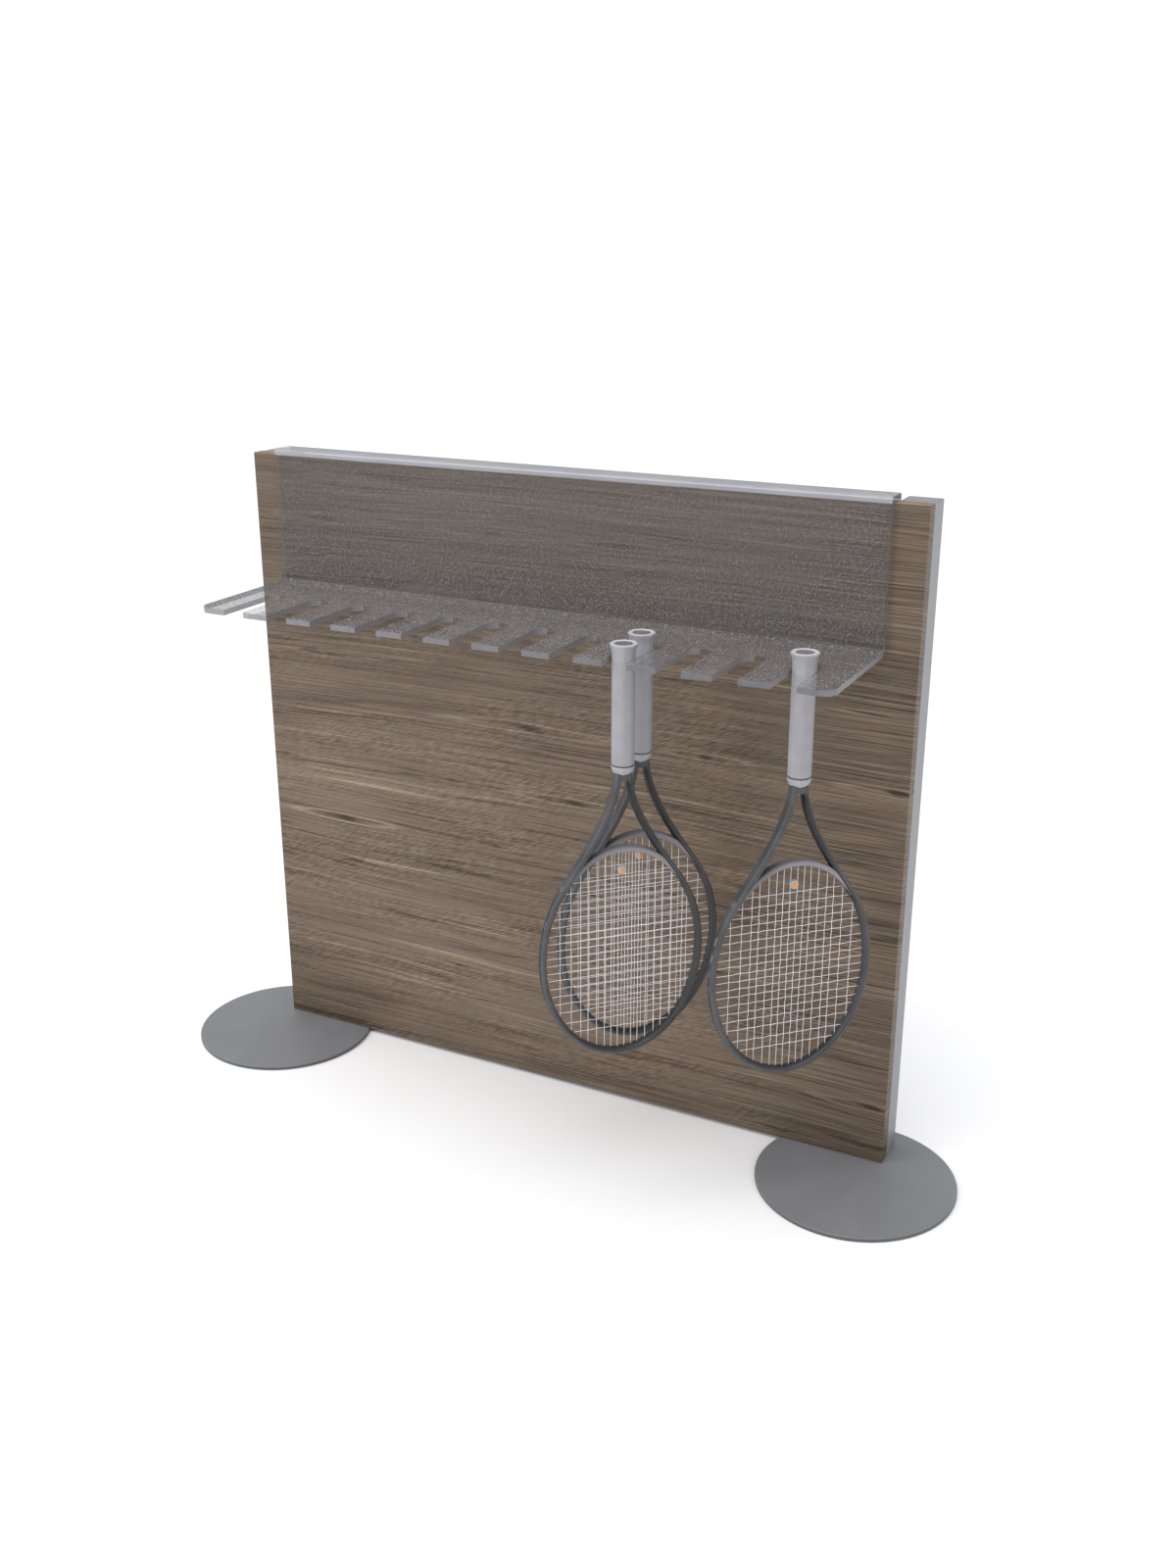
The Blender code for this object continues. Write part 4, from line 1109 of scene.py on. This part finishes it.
def beam_mesh():
    """Hoop and both legs in one tube, joined by the web under the collar."""
    path = frame_path()
    runs = tangents(path)
    rings = []
    for p, run in zip(path, runs):
        share = min(1.0, max(0.0, (JOIN_V + 25 * MM - p.y) / (110 * MM)))
        share = share * share * (3 - 2 * share)
        slim = min(1.0, max(0.0, (262 * MM - p.y) / (46 * MM)))
        slim = slim * slim * (3 - 2 * slim)
        groove = GROOVE_D * min(1.0, max(0.0, (p.y - 385 * MM) / (30 * MM)))
        out = Vector((run.y, -run.x))
        rings.append(
            [
                (p.x + out.x * s, y, -(p.y + out.y * s))
                for s, y in section(
                    TUBE_T + (LEG_T - TUBE_T) * share - (LEG_T - LEG_END_T) * slim,
                    TUBE_B + (LEG_B - TUBE_B) * share,
                    max(groove, 0.02 * MM),
                )
            ]
        )

    def tone(k, i):
        """Black on the legs' inner half, which on the left stops short of the side that faces the shopper and on the
        right wraps round to it; the hoop is only a little darker inside, and the outer side of its right half is
        darker with painted shade."""
        u, v = path[k].x, path[k].y
        leg = min(1.0, max(0.0, (418 * MM - v) / (18 * MM)))
        if i < 15:
            # painted shade on the outer side of the hoop's right half
            far = 0.34 if u > 0 and 2 <= i <= 13 else 0.0
            wrap = (1.0, 0.85)[i] if u > 0 and i < 2 else 0.0
            return far * (1 - leg) + wrap * (1 - ease(v, 300 * MM, 390 * MM)) * leg
        low = min(1.0, max(0.0, (v - 600 * MM) / (60 * MM)))
        on_leg = 1.0 if u > 0 or i <= 22 else 0.0
        return on_leg * leg + (0.22 + 0.26 * low) * (1 - leg)

    bm = bmesh.new()
    skin(bm, rings)
    body = mesh_from(bm, "beam", [PAINT], 40)
    tones = KDTree(len(rings) * len(rings[0]))
    shades = []
    for k, ring in enumerate(rings):
        for i, p in enumerate(ring):
            tones.insert(p, len(shades))
            shades.append(tone(k, i))
    tones.balance()
    bm = bmesh.new()
    rows = []
    for v, hx, hy in (
        (203, 8.6, 8.9),
        (212.0, 8.2, 9.0),
        (215.2, 7.4, 9.0),
        (217.0, 5.8, 8.8),
        (217.9, 3.2, 8.4),
    ):
        rows.append(
            [
                (x * hx * MM, y * hy * MM, -v * MM)
                for x, y in (
                    (1, -0.75), (1, 0.75), (0.86, 1), (-0.86, 1),
                    (-1, 0.75), (-1, -0.75), (-0.86, -1), (0.86, -1),
                )
            ]
        )
    skin(bm, rows)
    web = mesh_from(bm, "web", [PAINT], 40)
    made = bool_mesh(body, [web], "UNION")
    made.shade_smooth()
    made.set_sharp_from_angle(angle=math.radians(38))
    made.name = "racket_beam"
    set_tone(
        made,
        [
            0.0 if -v.co.z < 218.2 * MM and abs(v.co.x) < 9.5 * MM else shades[tones.find(v.co)[1]]
            for v in made.vertices
        ],
    )
    return made


def set_tone(mesh, values):
    """Writes the tone that the racket paint reads at each point."""
    mesh.attributes.new("tone", "FLOAT", "POINT").data.foreach_set("value", values)


def ease(value, lo, hi):
    share = min(1.0, max(0.0, (value - lo) / (hi - lo)))
    return share * share * (3 - 2 * share)


def bridge_mesh():
    """Throat bridge that closes the head between the legs."""
    ends = throat_angle(393 * MM, OUTER)
    angles = even_angles(ends, 2 * math.pi - ends, 44, OUTER)
    path = [egg(a, OUTER - 0.1 * MM) for a in angles]
    rings = []
    shades = []
    for p, run in zip(path, tangents(path)):
        out = Vector((run.y, -run.x))
        if (p + out * MM - Vector((0, HEAD_MID))).length < (p - Vector((0, HEAD_MID))).length:
            out = -out
        shape = []
        across = p.x / (70 * MM)
        for k in range(26):
            a = 2 * math.pi * k / 26
            c, s = math.cos(a), math.sin(a)
            # pale on the side of the strings, dark towards the handle; painted shade darkens it towards the left end,
            # by the left leg
            below = 1 - ease(c, -0.25, 0.75)
            shades.append(
                below * (0.42 + 0.52 * ease(across, -0.95, -0.05))
                + (1 - below) * (0.20 + 0.52 * ease(across, -0.90, 0.60))
            )
            shape.append(
                (
                    4.75 * MM * math.copysign(abs(c) ** 0.55, c),
                    8.6 * MM * math.copysign(abs(s) ** 0.50, s),
                )
            )
        rings.append([(p.x + out.x * s, y, -(p.y + out.y * s)) for s, y in shape])
    bm = bmesh.new()
    skin(bm, rings)
    made = mesh_from(bm, "racket_bridge", [PAINT_PALE], 40)
    set_tone(made, shades)
    return made


def running_sum(gaps):
    places = []
    for g in gaps:
        places.append((places[-1] if places else 0.0) + g * MM)
    return places


HALF_MAINS = running_sum(MAIN_GAPS)
MAIN_U = [-u for u in reversed(HALF_MAINS)] + HALF_MAINS
CROSS_V = running_sum(CROSS_GAPS)


def woven(start, end, knots, lift):
    """(place, depth) pairs from start to end: depth swings over and under at each knot."""
    if not knots:
        return [(start, 0.0), (end, 0.0)]
    made = []
    first, last = knots[0], knots[-1]
    for i in range(4):
        s = i / 4
        made.append((start + (first[0] - start) * s, first[1] * lift * (0.5 - 0.5 * math.cos(math.pi * s))))
    for a, b in zip(knots, knots[1:]):
        for i in range(4):
            s = i / 4
            swing = math.cos(math.pi * s) if a[1] != b[1] else 1.0
            made.append((a[0] + (b[0] - a[0]) * s, a[1] * lift * swing))
    for i in range(5):
        s = i / 4
        made.append((last[0] + (end - last[0]) * s, last[1] * lift * (0.5 + 0.5 * math.cos(math.pi * s))))
    return made


LIFT = 0.70 * MM
INTO = 3.0 * MM


def strings_mesh(mains):
    bm = bmesh.new()
    if mains:
        for j, u in enumerate(MAIN_U):
            top, tip = head_v(u, False), head_v(u, True)
            knots = [
                (v, 1 if (i + j) % 2 else -1)
                for i, v in enumerate(CROSS_V)
                if top + 2 * MM < v < tip - 2 * MM
            ]
            line = woven(top - INTO, tip + INTO, knots, LIFT)
            tube(bm, [Vector((u, y, -v)) for v, y in line], STRING_R)
    else:
        for i, v in enumerate(CROSS_V):
            w = half_width(v)
            knots = [
                (u, -1 if (i + j) % 2 else 1)
                for j, u in enumerate(MAIN_U)
                if abs(u) < w - 2 * MM
            ]
            line = woven(-w - INTO, w + INTO, knots, LIFT)
            tube(bm, [Vector((u, y, -v)) for u, y in line], STRING_R)
    # loops of the same string along the outer groove, from hole to hole
    if mains:
        holes = [[egg_place(u, True) for u in MAIN_U]]
    else:
        rows = [v for v in CROSS_V if v > 425 * MM]
        holes = [[side_place(v, side) for v in rows] for side in (1, -1)]
    for number, group in enumerate(holes):
        for i in range(number % 2, len(group) - 1, 2):
            a, b = group[i], group[i + 1]
            steps = 7
            points = [loop_point(a, -2.5 * MM)]
            for k in range(steps + 1):
                angle = a + (b - a) * k / steps
                points.append(loop_point(angle, -0.55 * MM if k in (0, steps) else -0.35 * MM))
            points.append(loop_point(b, -2.5 * MM))
            tube(bm, [Vector((p.x, 0.0, -p.y)) for p in points], LOOP_R)
    return mesh_from(bm, "racket_mains" if mains else "racket_crosses", [STRING], 60)


def egg_place(u, to_tip):
    """Angle at which the outline passes u, on the tip side."""
    return math.copysign(math.asin(min(1.0, (abs(u) / (HEAD_A + TUBE_T)) ** (TIP_POWER / 2))), u)


def side_place(v, side):
    d = v - HEAD_MID
    if d >= 0:
        c = (d / (HEAD_TIP + TUBE_T)) ** (TIP_POWER / 2)
    else:
        c = -((-d) / (HEAD_TOP + TUBE_T))
    return side * math.acos(max(-1.0, min(1.0, c)))


def loop_point(angle, out):
    return egg(angle, TUBE_T + out)


def guard_mesh():
    """Bumper guard: a strip with two raised lips, sitting in the frame's groove."""
    shape = [
        (-0.10, -5.3), (0.45, -4.9), (0.95, -4.2), (1.10, -3.3), (0.90, -2.5),
        (-0.75, -2.1), (-0.75, 2.1), (0.90, 2.5), (1.10, 3.3), (0.95, 4.2), (0.45, 4.9),
        (-0.10, 5.3), (-0.25, 4.2), (-1.20, 3.6), (-1.20, -3.6), (-0.25, -4.2),
    ]
    a0 = math.radians(GUARD_ANGLE)
    bm = bmesh.new()
    rings = []
    angles = even_angles(a0, -a0, 116, TUBE_T)
    path = [egg(a, TUBE_T) for a in angles]
    for k, (p, run) in enumerate(zip(path, tangents(path))):
        out = Vector((run.y, -run.x))
        if (p + out * MM - Vector((0, HEAD_MID))).length < (p - Vector((0, HEAD_MID))).length:
            out = -out
        end = min(k, len(path) - 1 - k) / 3
        low = min(1.0, 0.35 + 0.65 * end)
        rings.append(
            [
                (p.x + out.x * (s if s < 0 else s * low) * MM, y * MM, -(p.y + out.y * (s if s < 0 else s * low) * MM))
                for s, y in shape
            ]
        )
    skin(bm, rings)
    return mesh_from(bm, "racket_guard", [GUARD], 40)


def grommets_mesh():
    """Short barrels round each string where it enters the frame."""
    bm = bmesh.new()
    for u in MAIN_U:
        for to_tip in (False, True):
            v = head_v(u, to_tip)
            inward = -1 if to_tip else 1
            barrel(bm, Vector((u, 0, -(v + inward * 1.0 * MM))), Vector((u, 0, -(v - inward * 2.0 * MM))))
    for v in CROSS_V:
        w = half_width(v)
        for side in (-1, 1):
            barrel(bm, Vector((side * (w - 1.0 * MM), 0, -v)), Vector((side * (w + 2.0 * MM), 0, -v)))
    return mesh_from(bm, "racket_grommets", [GUARD], 50)


def barrel(bm, a, b):
    run = (b - a).normalized()
    mid = a + run * 0.35 * MM
    rings = []
    for p, r in ((a, 1.05 * MM), (mid, 1.4 * MM), (b, 1.5 * MM)):
        side = run.cross(Vector((0, 1, 0))).normalized()
        top = side.cross(run)
        rings.append(
            [p + (side * math.cos(t) + top * math.sin(t)) * r for t in (2 * math.pi * k / 8 for k in range(8))]
        )
    skin(bm, rings)


def octagon(flats, corner=0.30, arc_steps=4):
    """Octagon across flats with rounded corners; corner is the share of a flat that is arc."""
    half = flats / 2
    side = half * math.tan(math.pi / 8)
    cut = side * corner
    points = []
    for k in range(8):
        a = math.pi / 4 * k
        nrm = Vector((math.cos(a), math.sin(a)))
        tan = Vector((-nrm.y, nrm.x))
        start = nrm * half + tan * (side - cut)
        b = a + math.pi / 4
        nrm2 = Vector((math.cos(b), math.sin(b)))
        tan2 = Vector((-nrm2.y, nrm2.x))
        end = nrm2 * half - tan2 * (side - cut)
        corner_at = nrm * half + tan * side
        for i in range(arc_steps + 1):
            s = i / arc_steps
            points.append(start * (1 - s) ** 2 + corner_at * 2 * s * (1 - s) + end * s * s)
    return points


def oct_rings(sizes, corner=0.30):
    return [[(p.x, p.y, -v) for p in octagon(flats, corner)] for v, flats in sizes]


def blend_sizes(keys, steps):
    """Smoothly filled (v, flats) pairs between key pairs."""
    made = []
    for i, (a, b) in enumerate(zip(keys, keys[1:])):
        before = keys[max(i - 1, 0)]
        after = keys[min(i + 2, len(keys) - 1)]
        ma = (b[1] - before[1]) / max(1e-9, b[0] - before[0])
        mb = (after[1] - a[1]) / max(1e-9, after[0] - a[0])
        h = b[0] - a[0]
        for k in range(steps):
            s = k / steps
            value = (
                (2 * s**3 - 3 * s**2 + 1) * a[1]
                + (s**3 - 2 * s**2 + s) * h * ma
                + (-2 * s**3 + 3 * s**2) * b[1]
                + (s**3 - s**2) * h * mb
            )
            made.append((a[0] + h * s, value))
    made.append(keys[-1])
    return made


def cap_mesh(seat):
    """Butt cap: bell-shaped flare, rounded rim, and a plain sunk panel in its end."""
    end = seat + 5 * MM
    keys = [
        (0.7 * MM, 40.5 * MM),
        (1.7 * MM, 41.1 * MM),
        (2.9 * MM, 41.0 * MM),
        (4.2 * MM, 39.9 * MM),
        (6.5 * MM, 38.4 * MM),
        (10.0 * MM, 36.3 * MM),
        (14.0 * MM, 35.1 * MM),
        (end - 4.0 * MM, GRIP_FLATS),
        (end - 0.4 * MM, GRIP_FLATS),
    ]
    outer = [(0.15 * MM, 39.8 * MM)] + blend_sizes(keys, 3) + [(end, GRIP_FLATS - 0.3 * MM)]
    bm = bmesh.new()
    stack = (
        oct_rings([(1.3 * MM, 6.0 * MM), (1.2 * MM, 20.6 * MM), (1.3 * MM, 24.2 * MM)], 0.7)
        + oct_rings([(1.7 * MM, 25.0 * MM), (1.7 * MM, 26.0 * MM), (1.1 * MM, 27.0 * MM)], 0.7)
        + oct_rings([(0.6 * MM, 27.7 * MM), (0.3 * MM, 28.8 * MM)], 0.6)
        + oct_rings([(0.25 * MM, 36.6 * MM), (0.0, 37.6 * MM), (0.0, 39.0 * MM)], 0.5)
        + oct_rings(outer, 0.5)
        + oct_rings([(end, PALLET_FLATS + 0.8 * MM), (6 * MM, PALLET_FLATS + 0.8 * MM)], 0.5)
    )
    dark = 6
    # the rim faces next to the sunk panel get the lighter painted-light copy
    skin(bm, stack, mats=lambda k, i: 1 if k < dark else 2 if k < dark + 6 else 0)
    bm.faces.ensure_lookup_table()
    for face in bm.faces:
        if len(face.verts) > 4 and all(abs(v.co.z + 1.3 * MM) < 1e-5 for v in face.verts):
            face.material_index = 1
    return mesh_from(bm, "racket_cap", [CAP, CAP_DARK, CAP_RIM_LIT], 38)


ROUND = 0.62


def grip_mesh(seat):
    """Octagonal taped handle with softly rounded corners and thin rolled ends."""
    start, end = seat + 5.05 * MM, 190.3 * MM
    sizes = [
        (start, GRIP_FLATS - 0.3 * MM),
        (start + 0.3 * MM, GRIP_FLATS - 0.05 * MM),
    ]
    for i in range(1, 14):
        share = i / 14
        sizes.append((start + (end - start) * share, GRIP_FLATS + 0.08 * MM * math.sin(11.0 * share)))
    sizes += [(end - 0.8 * MM, GRIP_FLATS), (end, GRIP_FLATS - 0.5 * MM)]
    inner = [(end, PALLET_FLATS + 0.8 * MM), (start, PALLET_FLATS + 0.8 * MM)]
    rings = oct_rings(sizes, ROUND) + oct_rings(inner, ROUND)
    bm = bmesh.new()
    skin(bm, rings, closed=True)
    return mesh_from(bm, "racket_grip", [GRIP], 60)


def ring_mesh():
    """Finishing tape round the grip's lower end, not quite level."""
    rings = []
    count = len(octagon(GRIP_FLATS, ROUND))

    def turn(flats, v0, sway):
        made = []
        for k, p in enumerate(octagon(flats, ROUND)):
            a = 2 * math.pi * k / count
            dv = sway * (math.sin(a + 0.6) + 0.35 * math.sin(3 * a) + 0.30 * math.sin(8 * a))
            made.append((p.x, p.y, -(v0 + dv)))
        return made

    for flats, v0 in (
        (34.6, 190.6), (35.1, 190.7), (35.2, 191.1), (35.2, 192.0), (35.1, 192.4), (34.6, 192.5),
        (31.4, 192.5), (31.4, 190.6),
    ):
        rings.append(turn(flats * MM, v0 * MM, 0.30 * MM))
    bm = bmesh.new()
    skin(bm, rings, closed=True)
    return mesh_from(bm, "racket_tape", [RING], 40)


def collar_mesh():
    """Tapered rubber collar; its lower edge steps up and down from flat to flat."""
    steps = 4
    count = len(octagon(1.0, 0.3, steps))

    def row(flats, v0, notch):
        made = []
        for k, p in enumerate(octagon(flats * MM, 0.42, steps)):
            place_on = (k / (steps + 1) + 0.5) % 2.0
            step = min(1.0, max(-1.0, (abs(place_on - 1.0) - 0.5) * 9.0))
            made.append((p.x, p.y, -(v0 + notch * step) * MM))
        return made

    outer = [
        row(34.2, 192.6, 0), row(35.0, 192.9, 0), row(35.0, 195.4, 0), row(34.4, 197.2, 0),
        row(32.7, 199.6, 0.1), row(30.9, 201.8, 0.35), row(29.2, 203.7, 0.75), row(28.5, 204.1, 0.85),
    ]
    inner = [row(27.2, 203.9, 0.85), row(27.0, 201.0, 0), row(27.0, 192.6, 0)]
    bm = bmesh.new()
    skin(bm, outer + inner, closed=True)
    return mesh_from(bm, "racket_collar", [COLLAR], 34)


def plug_mesh():
    """Closes the collar's mouth between it and the frame."""
    bm = bmesh.new()
    skin(bm, oct_rings([(197 * MM, 26.8 * MM), (201.6 * MM, 26.8 * MM)], 0.42))
    return mesh_from(bm, "racket_collar_floor", [RING], 40)


def dampener_mesh():
    """Plain vibration damper pushed between the two middle strings: a rounded body
    with a raised pad, and a slit on either side that the strings sit in."""
    bm = bmesh.new()
    v0 = 367.5 * MM
    shape = []
    for k in range(36):
        a = 2 * math.pi * k / 36
        c, s = math.cos(a), math.sin(a)
        shape.append((6.3 * math.copysign(abs(c) ** 0.78, c), 7.0 * math.copysign(abs(s) ** 0.78, s)))

    def row(scale, y, grow=0.0):
        made = []
        for x, z in shape:
            length = math.hypot(x, z)
            k = (length * scale + grow) / length
            made.append((x * k * MM, y * MM, -(v0 + z * k * MM)))
        return made

    body = [
        row(0.80, -3.4), row(0.93, -3.2), row(1.0, -2.5), row(1.0, -1.1),
        row(0.86, -0.75), row(0.86, 0.75),
        row(1.0, 1.1), row(1.0, 2.3), row(0.93, 2.9), row(0.80, 3.1),
    ]
    skin(bm, body)
    rim = mesh_from(bm, "racket_dampener", [BLUE_GREY], 35)
    bm = bmesh.new()
    pad = [row(0.64, -2.9), row(0.64, -3.7), row(0.60, -4.15), row(0.52, -4.35), row(0.30, -4.45)]
    skin(bm, pad)
    return rim, mesh_from(bm, "racket_dampener_pad", [ORANGE], 35)


BEAM = beam_mesh()
BRIDGE = bridge_mesh()
MAINS = strings_mesh(True)
CROSSES = strings_mesh(False)
BUMPER = guard_mesh()
GROMMETS = grommets_mesh()
TAPE = ring_mesh()
COLLARS = collar_mesh()
PLUG = plug_mesh()
DAMP, DAMP_PAD = dampener_mesh()

for name, slot_number, before, seat in (
    ("racket_right", 12, 153.3 * MM, 26.4 * MM),
    ("racket_front", 9, 209.0 * MM, 21.1 * MM),
    ("racket_rear", 9, 145.8 * MM, 23.4 * MM),
):
    at = Matrix.Translation((SLOTS[slot_number - 1], FACE - before, SHELF + seat)) @ Matrix.Rotation(
        math.radians(45), 4, "Z"
    )
    for label, mesh, slot, stands_for in (
        ("beam", BEAM, "racket_paint", ["frame"]),
        ("bridge", BRIDGE, "racket_paint", []),
        ("mains", MAINS, "string", ["main_strings"]),
        ("crosses", CROSSES, "string", ["cross_strings"]),
        ("guard", BUMPER, "bumper_plastic", ["bumper"]),
        ("grommets", GROMMETS, "bumper_plastic", []),
        ("cap", cap_mesh(seat), "cap_plastic", ["butt_cap"]),
        ("tape", TAPE, "collar_rubber", []),
        ("handle", grip_mesh(seat), "grip_cover", ["grip"]),
        ("collar", COLLARS, "collar_rubber", ["grip_collar"]),
        ("collar_floor", PLUG, "collar_rubber", []),
        ("damper", DAMP, "dampener_rubber", ["dampener"]),
        ("damper_pad", DAMP_PAD, "dampener_rubber", []),
    ):
        place(
            f"{name}_{label}", mesh, name, slot, [f"{name}_{node}" for node in stands_for], at
        )
    dress(f"{name}_pallet", FOAM)

# ---- floor -----------------------------------------------------------------------

floor_bm = bmesh.new()
bmesh.ops.create_grid(floor_bm, x_segments=1, y_segments=1, size=60.0)
floor = bpy.data.objects.new("floor", mesh_from(floor_bm, "floor", [], recalc=False))
scene.collection.objects.link(floor)
floor.location.z = -0.1 * MM
f = Net("floor_pale")
f.set(
    Base_Color=f.mix(
        f.noise(f.at, 3.0, 3.0), (0.88, 0.88, 0.885, 1.0), (0.90, 0.90, 0.905, 1.0)
    ),
    Roughness=0.85,
    Specular_IOR_Level=0.2,
)
floor.data.materials.append(f.mat)
